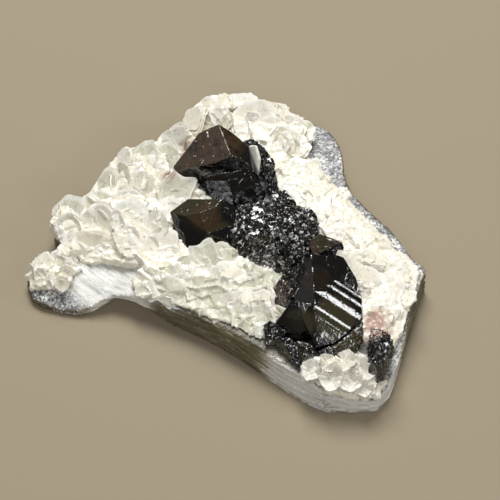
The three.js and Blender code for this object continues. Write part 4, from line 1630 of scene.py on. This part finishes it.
@dataclass(frozen=True)
class MicaCrust:
    """A mica aggregate: a crumpled crust, large books placed one by one and loose ones over it.

    Attributes:
        node: the CAD node.
        centre: the point that the loose books lean away from, in millimetres.
        seed: the first large book's seed.
        relief: the crust's relief.
        books: the large books.
        scatters: the rounds of loose books.
        voxel: the fine mesh's edge length in millimetres.
        tone: the crust's own look.
        stains: where it is stained.
        smooth_below: the angle in degrees under which shading runs smoothly over an edge.
    """

    node: str
    centre: Point
    seed: int
    relief: Relief
    books: tuple[Book, ...] = ()
    scatters: tuple[Scatter, ...] = ()
    voxel: float = 0.3
    tone: Tone = Tone.CREAM
    stains: tuple[Zone, ...] = ()
    smooth_below: float = 38.0

    def build(
        self, relief: ReliefTree, scatter: ScatterTree, loose: LooseBooks, material: bpy.types.Material
    ) -> None:
        """Builds the aggregate as one mesh.

        Args:
            relief: the relief tree.
            scatter: the scatter tree.
            loose: the shapes of the loose books.
            material: the muscovite.
        """
        piece, _ = fine_copy(self.node + "_books", self.node, self.voxel, snap=False)
        for mark, value in ((Mark.ROUGH, 1.0), (Mark.STEPPED, 0.0), (Mark.TONE, self.tone.value)):
            paint(piece.data, mark, value)
        relief.apply(piece, self.relief, material)
        supply = Supply(self.centre, loose.collection, material)
        for values in self.scatters:
            if values is self.scatters[-1]:
                large = mesh_of_books("large_books", self.books, self.seed)
                supply = replace(supply, large=bpy.data.objects.new("large_books", large))
            scatter.apply(piece, values, supply)
        if supply.large:
            bpy.data.objects.remove(supply.large)
        paint(piece.data, Mark.STAIN, blend_zones(points_of(piece.data), self.stains))
        finish_piece(piece, self.node, self.smooth_below)


FLAT_FACES = Relief(
    fold_size=5.0,
    fold_depth=0.05,
    facet_size=1.6,
    facet_tilt=0.12,
    grain_size=0.9,
    grain_depth=0.05,
    seed=11.0,
)
BROKEN_FACES = Relief(
    fold_size=3.0,
    fold_depth=0.3,
    facet_size=1.2,
    facet_tilt=1.0,
    grain_size=0.7,
    grain_depth=0.05,
    seed=43.0,
)
LUMPY_FACES = Relief(
    fold_size=2.5,
    fold_depth=0.15,
    facet_size=1.2,
    facet_tilt=0.6,
    grain_size=0.6,
    grain_depth=0.05,
    seed=61.0,
)
SMOOTH_CRUST = Relief(
    fold_size=5.0,
    fold_depth=0.6,
    facet_size=1.6,
    facet_tilt=0.35,
    grain_size=0.6,
    grain_depth=0.16,
    seed=5.0,
)
CRUMPLED_CRUST = Relief(
    fold_size=5.6,
    fold_depth=1.9,
    facet_size=3.0,
    facet_tilt=0.3,
    grain_size=0.6,
    grain_depth=0.1,
    seed=8.0,
)

# Settings that several books of one aggregate share: sheets like crumpled foil, sheets that stand
# beside a crystal, large curved ones, low thin ones, narrow blocks on edge, and curled fans.
FOIL = {"crumple": 0.045, "cup": -0.05, "sheets": 2, "chips": 3}
STANDING = {"long": 0.5, "sheets": 2, "chips": 1, "cup": 0.0, "crumple": 0.03}
SAIL = {"cup": 0.08, "sheets": 2, "chips": 2}
LOW = {"cup": -0.03, "sheets": 2, "thick": 0.2, "chips": 4}
EDGEWISE = {"long": 0.4, "sheets": 4, "edges": 4, "chips": 0, "cup": 0.0}
FAN = {"cup": 0.22, "crumple": 0.05, "pleats": 14, "pleat": 0.03, "sheets": 4, "chips": 2}


@dataclass(frozen=True)
class CrystalChain:
    """The chain of dark crystals, from the upper twin down to the front corner."""

    crystals: tuple[Crystal, ...] = (
        Crystal(
            "cassiterite_upper_twin",
            FLAT_FACES,
            {
                Mark.BROWN: (Zone((-4.5, 20.0, 18.5), 8.5),),
                Mark.OLIVE: (Zone((-12.0, 15.5, 15.5), 4.5),),
                Mark.ROUGH: (Zone((-4.0, 19.5, 18.0), 6.0, 0.3),),
            },
        ),
        Crystal(
            "cassiterite_left_crystal",
            replace(FLAT_FACES, seed=23.0),
            {
                Mark.OLIVE: (Zone((-7.0, 4.5, 15.0), 6.0, 0.8), Zone((-1.0, -3.0, 11.5), 3.5, 0.8)),
                Mark.BROWN: (Zone((-4.5, 0.0, 14.5), 3.5, 0.9),),
            },
        ),
        Crystal(
            "cassiterite_back_sliver",
            replace(BROKEN_FACES, facet_size=1.1, seed=31.0),
            roughness=0.8,
            voxel=0.14,
        ),
        Crystal(
            "cassiterite_centre_mass",
            BROKEN_FACES,
            {
                Mark.OLIVE: (Zone((7.5, -8.5, 12.0), 4.5),),
                Mark.ROUGH: (Zone((13.0, 1.5, 15.0), 3.0, 0.3),),
            },
            roughness=1.0,
            voxel=0.16,
        ),
        Crystal(
            "cassiterite_small_prism",
            replace(FLAT_FACES, seed=47.0),
            {
                Mark.OLIVE: (Zone((22.5, -7.0, 14.5), 4.0, 0.8),),
                Mark.BROWN: (Zone((19.0, -8.0, 13.8), 1.6),),
            },
            roughness=0.3,
            voxel=0.13,
        ),
        Crystal(
            "cassiterite_lower_crystal",
            replace(FLAT_FACES, grain_size=0.8, grain_depth=0.09, seed=59.0),
            {
                Mark.OLIVE: (Zone((23.5, -27.0, 13.0), 5.0, 0.9), Zone((15.5, -28.5, 13.0), 3.5, 0.8)),
                Mark.BROWN: (Zone((19.5, -19.5, 17.0), 3.0, 0.2),),
                Mark.ROUGH: (
                    Zone((12.0, -19.0, 13.0), 4.5, 0.9),
                    Zone((15.6, -16.4, 15.0), 3.6, 0.6),
                    Zone((21.0, -31.0, 12.0), 2.5, 0.7),
                ),
                Mark.CRUSTY: (Zone((12.0, -20.0, 12.0), 3.4, 0.15),),
            },
        ),
        Crystal(
            "cassiterite_lower_fringe",
            LUMPY_FACES,
            {
                Mark.OLIVE: (Zone((26.5, -31.0, 10.5), 4.5), Zone((16.5, -32.0, 10.0), 1.5)),
                Mark.BROWN: (Zone((16.8, -31.6, 10.4), 1.2),),
            },
            roughness=0.5,
            voxel=0.14,
        ),
        Crystal(
            "cassiterite_corner_crystal",
            replace(LUMPY_FACES, seed=67.0),
            {Mark.CRUSTY: (Zone((31.5, -28.5, 12.0), 3.5, 0.9),)},
            roughness=0.6,
            voxel=0.13,
        ),
    )

    def build(self, tree: ReliefTree, material: bpy.types.Material) -> None:
        """Builds the crystals one by one.

        Args:
            tree: the relief tree.
            material: the cassiterite.
        """
        for crystal in self.crystals:
            crystal.build(tree, material)


@dataclass(frozen=True)
class LeftRosettes(MicaCrust):
    """The large mass of rounded books on the left, each leaning on the one behind it."""

    node: str = "mica_left_rosettes"
    centre: Point = (-10.0, 14.0, 0.0)
    seed: int = 100
    relief: Relief = SMOOTH_CRUST
    books: tuple[Book, ...] = (
        Book((-24.2, 21.0, 12.0), 6.4, 50, 190, Tone.WHITE),
        Book((-19.0, 20.6, 12.6), 8.4, 40, 250, Tone.SILVER, chips=3),
        Book((-27.6, 13.6, 11.0), 8.0, 44, 205, Tone.SILVER),
        Book((-23.0, 14.6, 12.2), 7.4, 34, 225, Tone.SILVER),
        Book((-13.8, 20.6, 12.6), 7.4, 30, 260, Tone.SILVER),
        Book((-18.4, 12.0, 12.6), 6.6, 42, 320, Tone.SILVER, edges=5, chips=0),
        Book((-12.6, 24.6, 13.4), 10.0, 52, 225, Tone.WHITE, long=0.9, edges=4, chips=1),
        Book((-28.6, 7.6, 11.2), 8.4, 30, 240, Tone.SILVER, long=0.7),
        Book((-11.4, 10.2, 12.6), 9.6, 36, 300, Tone.SILVER, cup=0.06, edges=4, chips=0, sheets=2),
        Book((-36.4, 5.8, 9.0), 9.6, 34, 215, Tone.SILVER),
        Book((-30.8, 4.8, 10.6), 8.6, 34, 235, Tone.CREAM),
        Book((-22.0, 6.0, 12.6), 9.8, 28, 255, Tone.SILVER, long=0.75, chips=3),
        Book((-35.6, 2.4, 8.2), 7.2, 34, 250, Tone.SILVER, cup=0.12),
        Book((-28.6, 1.8, 10.6), 9.2, 46, 255, Tone.CREAM),
        Book((-21.6, 1.4, 12.4), 9.6, 42, 262, Tone.WHITE, cup=0.0),
        Book((-16.6, 1.6, 11.4), 6.8, 62, 200, Tone.SILVER, long=0.7),
        Book((-12.8, 4.6, 12.4), 8.6, 22, 240, Tone.WHITE, edges=4),
        Book((-34.8, -1.0, 8.0), 6.0, 34, 250, Tone.WHITE, edges=4, chips=0, cup=0.0),
        Book((-29.6, -3.0, 8.2), 10.4, 44, 268, Tone.YELLOW, 0.8, crumple=0.02, pleats=11, pleat=0.008),
        Book((-20.8, -3.2, 10.6), 9.8, 38, 268, Tone.YELLOW, cup=-0.04),
        Book((-14.4, -4.4, 10.2), 9.2, 30, 265, Tone.CREAM),
    )
    scatters: tuple[Scatter, ...] = (Scatter(5.0, 4.0, 6.0, 0.15, 0.5, lift=-0.12, silvery=0.1, seed=3),)
    stains: tuple[Zone, ...] = (Zone((-9.0, 22.0, 13.5), 3.0, 0.5), Zone((-12.5, 13.0, 13.0), 2.5, 0.5))


@dataclass(frozen=True)
class TipRosette(MicaCrust):
    """The small mass on the left tip."""

    node: str = "mica_tip_rosette"
    centre: Point = (-34.0, -3.0, 0.0)
    seed: int = 200
    relief: Relief = CRUMPLED_CRUST
    books: tuple[Book, ...] = (
        Book((-36.2, -6.4, 6.8), 7.2, 30, 262, Tone.SILVER, edges=3, chips=0),
        Book((-41.4, -6.0, 6.0), 6.2, 30, 200, Tone.CREAM),
        Book((-41.2, -9.6, 5.2), 6.0, 34, 225, Tone.YELLOW),
    )
    scatters: tuple[Scatter, ...] = (
        Scatter(2.6, 2.4, 3.8, 0.35, 0.5, silvery=0.5, creamy=1.0, seed=5),
        Scatter(2.6, 1.2, 2.0, 0.6, 0.4, silvery=0.4, creamy=1.0, seed=6),
    )


@dataclass(frozen=True)
class FrontCrust(MicaCrust):
    """The crumpled crust in front of the dark chain, with sheets that stand beside the lower crystal."""

    node: str = "mica_front_crust"
    centre: Point = (0.0, -4.0, 0.0)
    seed: int = 300
    relief: Relief = CRUMPLED_CRUST
    books: tuple[Book, ...] = (
        Book((-16.2, -13.4, 8.8), 8.8, 30, 225, Tone.CREAM, **FOIL),
        Book((-12.4, -16.6, 8.8), 7.4, 36, 250, Tone.SILVER, **FOIL),
        Book((-4.6, -8.6, 11.0), 8.6, 36, 258, Tone.SILVER, edges=4, chips=0),
        Book((-0.8, -7.4, 10.8), 6.6, 40, 300, Tone.SILVER, long=0.8),
        Book((-7.4, -14.4, 10.0), 9.0, 24, 250, Tone.CREAM, **FOIL),
        Book((0.4, -15.2, 10.8), 9.6, 26, 260, Tone.CREAM, **FOIL),
        Book((5.4, -15.4, 10.4), 6.4, 28, 230, Tone.SILVER, **FOIL),
        Book((2.2, -21.4, 9.6), 8.4, 38, 240, Tone.CREAM, **FOIL),
        Book((7.6, -21.8, 10.0), 8.6, 34, 225, Tone.CREAM, pleats=9, pleat=0.02, **FOIL),
        Book((7.2, -27.0, 8.8), 5.6, 40, 250, Tone.WHITE, long=0.8, **FOIL),
        Book((11.0, -16.6, 11.2), 4.6, 66, 205, Tone.SILVER, **STANDING),
        Book((9.4, -19.4, 11.0), 7.0, 64, 190, Tone.CREAM, **STANDING),
        Book((9.2, -24.2, 10.2), 6.4, 60, 195, Tone.SILVER, **STANDING),
        Book((12.6, -24.8, 10.8), 6.6, 62, 225, Tone.YELLOW, **STANDING),
    )
    scatters: tuple[Scatter, ...] = (
        Scatter(5.0, 2.6, 4.4, 0.2, 0.2, lift=-0.12, silvery=0.2, seed=7),
        Scatter(5.0, 1.0, 2.0, 0.5, 0.2, silvery=0.3, seed=8),
    )
    tone: Tone = Tone.SILVER


@dataclass(frozen=True)
class BackRosettes(MicaCrust):
    """The mass of large curved sheets along the back."""

    node: str = "mica_back_rosettes"
    centre: Point = (4.0, 24.0, 0.0)
    seed: int = 400
    relief: Relief = CRUMPLED_CRUST
    books: tuple[Book, ...] = (
        Book((-8.4, 33.6, 11.8), 7.6, 46, 200, Tone.CREAM),
        Book((-4.6, 36.0, 12.2), 7.8, 30, 240, Tone.CREAM, crumple=0.03),
        Book((-1.6, 33.4, 12.8), 7.0, 44, 255, Tone.WHITE, edges=4),
        Book((3.4, 36.4, 12.2), 9.4, 20, 250, Tone.WHITE, **SAIL),
        Book((10.6, 35.6, 11.6), 8.4, 22, 285, Tone.CREAM, **SAIL),
        Book((7.0, 31.8, 13.2), 12.5, 24, 262, Tone.CREAM, long=0.85, cup=0.06, sheets=3, chips=2),
        Book((5.2, 30.0, 13.2), 5.4, 84, 190, Tone.WHITE, long=0.35, sheets=2),
        Book((14.6, 31.4, 12.2), 8.4, 24, 250, Tone.CREAM, crumple=0.04, long=0.7),
        Book((13.0, 27.6, 12.2), 8.0, 28, 235, Tone.SILVER, crumple=0.04, long=0.7),
        Book((16.6, 25.6, 11.4), 7.2, 22, 280, Tone.CREAM, crumple=0.04),
        Book((18.2, 30.4, 11.4), 6.6, 20, 300, Tone.SILVER, crumple=0.04),
    )
    scatters: tuple[Scatter, ...] = (
        Scatter(6.0, 3.4, 5.4, 0.15, 0.3, lift=-0.1, silvery=0.2, seed=9),
        Scatter(5.0, 1.6, 2.6, 0.5, 0.3, silvery=0.3, seed=10),
    )


@dataclass(frozen=True)
class RightCrust(MicaCrust):
    """The smooth sugary crust between the dark chain and the bare rock on the right."""

    node: str = "mica_right_crust"
    centre: Point = (20.0, -2.0, 0.0)
    seed: int = 500
    relief: Relief = replace(
        SMOOTH_CRUST, fold_size=3.6, fold_depth=0.5, grain_size=0.5, grain_depth=0.3, seed=14.0
    )
    books: tuple[Book, ...] = (
        Book((16.2, 18.4, 10.6), 7.0, 14, 250, Tone.CREAM, **LOW),
        Book((19.6, 12.0, 10.8), 7.6, 12, 60, Tone.CREAM, **LOW),
        Book((22.6, 5.6, 10.9), 7.6, 12, 250, Tone.WHITE, **LOW),
        Book((26.4, 1.2, 10.8), 7.0, 14, 20, Tone.WHITE, **LOW),
        Book((27.2, -8.6, 11.6), 4.4, 76, 200, Tone.WHITE, **EDGEWISE),
        Book((28.6, -8.8, 11.5), 4.4, 74, 195, Tone.CREAM, **EDGEWISE),
        Book((30.4, -8.8, 11.4), 4.2, 70, 190, Tone.WHITE, **EDGEWISE),
        Book((32.6, -9.4, 11.2), 6.6, 26, 60, Tone.CREAM, edges=4, chips=0),
        Book((28.8, -12.6, 11.4), 8.8, 30, 290, Tone.CREAM, edges=4, cup=-0.06, sheets=2),
        Book((30.6, -16.6, 10.8), 8.0, 34, 270, Tone.CREAM, long=1.1, cup=-0.06, sheets=2),
        Book((36.0, -12.0, 10.2), 7.2, 18, 300, Tone.CREAM, chips=3),
        Book((34.6, -22.0, 9.8), 6.8, 20, 250, Tone.WHITE, crumple=0.04),
        Book((38.8, -17.2, 9.4), 6.6, 18, 340, Tone.WHITE, crumple=0.04),
    )
    scatters: tuple[Scatter, ...] = (
        Scatter(5.0, 2.4, 3.8, 0.12, 0.1, lift=-0.15, silvery=0.4, seed=11),
        Scatter(3.4, 0.7, 1.4, 0.6, 0.1, silvery=0.35, creamy=0.6, seed=12),
    )
    stains: tuple[Zone, ...] = (
        Zone((27.5, -29.0, 10.5), 4.5, 0.9),
        Zone((27.0, -5.0, 12.0), 2.0, 0.6),
        Zone((33.0, -26.0, 10.0), 3.5, 0.7),
    )


@dataclass(frozen=True)
class CornerFan(MicaCrust):
    """The white curled fans at the front corner."""

    node: str = "mica_corner_fan"
    centre: Point = (26.0, -32.0, 0.0)
    seed: int = 600
    relief: Relief = CRUMPLED_CRUST
    books: tuple[Book, ...] = (
        Book((18.6, -37.2, 8.6), 5.4, 26, 235, Tone.WHITE, **FAN),
        Book((22.4, -38.8, 8.4), 5.8, 32, 250, Tone.WHITE, **FAN),
        Book((21.6, -36.2, 9.2), 5.0, 16, 300, Tone.CREAM, **FAN),
        Book((26.2, -39.2, 8.0), 6.0, 28, 275, Tone.WHITE, **FAN),
        Book((25.6, -35.8, 9.2), 5.6, 18, 200, Tone.WHITE, **FAN),
        Book((29.2, -37.2, 8.4), 5.8, 26, 290, Tone.WHITE, **FAN),
        Book((29.0, -40.6, 7.0), 5.0, 36, 255, Tone.WHITE, **FAN),
    )
    scatters: tuple[Scatter, ...] = (
        Scatter(3.0, 2.2, 3.6, 0.4, 0.5, silvery=0.3, creamy=0.5, seed=13),
        Scatter(2.8, 1.0, 1.8, 0.6, 0.4, silvery=0.3, creamy=0.5, seed=14),
    )


@dataclass(frozen=True)
class Blade(MicaCrust):
    """The thin white blade that stands between the upper twin and the sliver behind it."""

    node: str = "mica_blade"
    centre: Point = (6.4, 18.0, 0.0)
    seed: int = 700
    relief: Relief = Relief(fold_size=2.0, fold_depth=0.1, grain_size=0.5, grain_depth=0.05, seed=3.0)
    voxel: float = 0.2
    tone: Tone = Tone.WHITE


@dataclass(frozen=True)
class AreaLight:
    """A square soft light that points at the specimen.

    Attributes:
        name: its name.
        round_from_back: its direction in degrees, from the back towards the right.
        up: its height in degrees.
        away: its distance in millimetres.
        size: its side in millimetres.
        power: its power in watts.
    """

    name: str
    round_from_back: float
    up: float
    away: float
    size: float
    power: float

    def hang(self, target: Point) -> None:
        """Hangs the light.

        Args:
            target: the point that it shines at, in millimetres.
        """
        turn, rise = math.radians(self.round_from_back), math.radians(self.up)
        way = Vector((math.sin(turn) * math.cos(rise), math.cos(turn) * math.cos(rise), math.sin(rise)))
        data = bpy.data.lights.new(self.name, "AREA")
        data.size = self.size * MM
        data.energy = self.power
        lamp = bpy.data.objects.new(self.name, data)
        bpy.context.scene.collection.objects.link(lamp)
        lamp.location = (Vector(target) + way * self.away) * MM
        lamp.rotation_euler = (-way).to_track_quat("-Z", "Y").to_euler()


@dataclass(frozen=True)
class Studio:
    """A plain pale floor, soft light from behind and above, and the photograph's camera.

    Attributes:
        target: the point that the camera and the lights face, in millimetres.
        elevation: the camera's height in degrees.
        distance: its distance in millimetres.
        lens: its focal length in millimetres.
        sensor: its sensor's width in millimetres.
        nearest: how near it sees, in metres.
        floor: the floor's colour.
        floor_half: half the floor's width in metres.
        floor_roughness: how matt the floor is.
        room: the colour of the room's even light.
        room_strength: its strength.
        lights: the soft lights.
    """

    target: Point = (5.4, -3.8, 8.0)
    elevation: float = 50.0
    distance: float = 312.1
    lens: float = 100.0
    sensor: float = 36.0
    nearest: float = 0.01
    floor: str = "9A8E78"
    floor_half: float = 1.5
    floor_roughness: float = 0.95
    room: str = "F2EEE6"
    room_strength: float = 0.065
    lights: tuple[AreaLight, ...] = (
        AreaLight("key_light", -10, 57, 770, 300, 4.1),
        AreaLight("high_light", 10, 74, 770, 220, 2.0),
        AreaLight("sheen_light", -60, 40, 750, 500, 0.11),
        AreaLight("side_light", 95, 30, 620, 130, 0.45),
        AreaLight("front_light", 149, 32, 700, 110, 0.36),
        AreaLight("camera_light", -172, 47, 700, 300, 1.3),
    )

    def build(self) -> None:
        """Builds the floor, the lights and the camera."""
        self._floor()
        for light in self.lights:
            light.hang(self.target)
        self._world()
        self._camera()
        bpy.context.scene.view_settings.view_transform = "Standard"

    def _floor(self) -> None:
        """Lays a wide matt floor."""
        mesh = bpy.data.meshes.new("floor")
        half = self.floor_half
        corners = [(-half, -half, 0), (half, -half, 0), (half, half, 0), (-half, half, 0)]
        mesh.from_pydata(corners, [], [(0, 1, 2, 3)])
        _, shader = new_material("matt_studio_paper")
        fill(shader, {"Base Color": linear(self.floor), "Roughness": self.floor_roughness})
        mesh.materials.append(bpy.data.materials["matt_studio_paper"])
        add_piece("floor", mesh)

    def _world(self) -> None:
        """Gives the room a dim even light."""
        world = bpy.data.worlds.new("room")
        world.use_nodes = True
        shade = world.node_tree.nodes["Background"]
        fill(shade, {"Color": linear(self.room), "Strength": self.room_strength})
        bpy.context.scene.world = world

    def _camera(self) -> None:
        """Sets the camera at the photograph's angle."""
        data = bpy.data.cameras.new("camera")
        data.lens = self.lens
        data.sensor_width = self.sensor
        data.clip_start = self.nearest
        camera = bpy.data.objects.new("camera", data)
        bpy.context.scene.collection.objects.link(camera)
        angle = math.radians(self.elevation)
        away = Vector((0, -math.cos(angle), math.sin(angle))) * self.distance
        camera.location = (Vector(self.target) + away) * MM
        camera.rotation_euler = (-away).to_track_quat("-Z", "Y").to_euler()
        bpy.context.scene.camera = camera


def main() -> None:
    """Builds the specimen piece by piece, then the studio."""
    logging.basicConfig(level=logging.INFO, format="%(name)s: %(message)s")
    relief, scatter, loose = ReliefTree(), ScatterTree(), LooseBooks()
    SchistSlab().build(relief, SchistFinish().build())
    CrystalChain().build(relief, CassiteriteFinish().build())
    mica = MuscoviteFinish().build()
    for kind in (LeftRosettes, TipRosette, FrontCrust, BackRosettes, RightCrust, CornerFan, Blade):
        kind().build(relief, scatter, loose, mica)
    loose.discard()
    Studio().build()


if __name__ == "__main__":
    main()
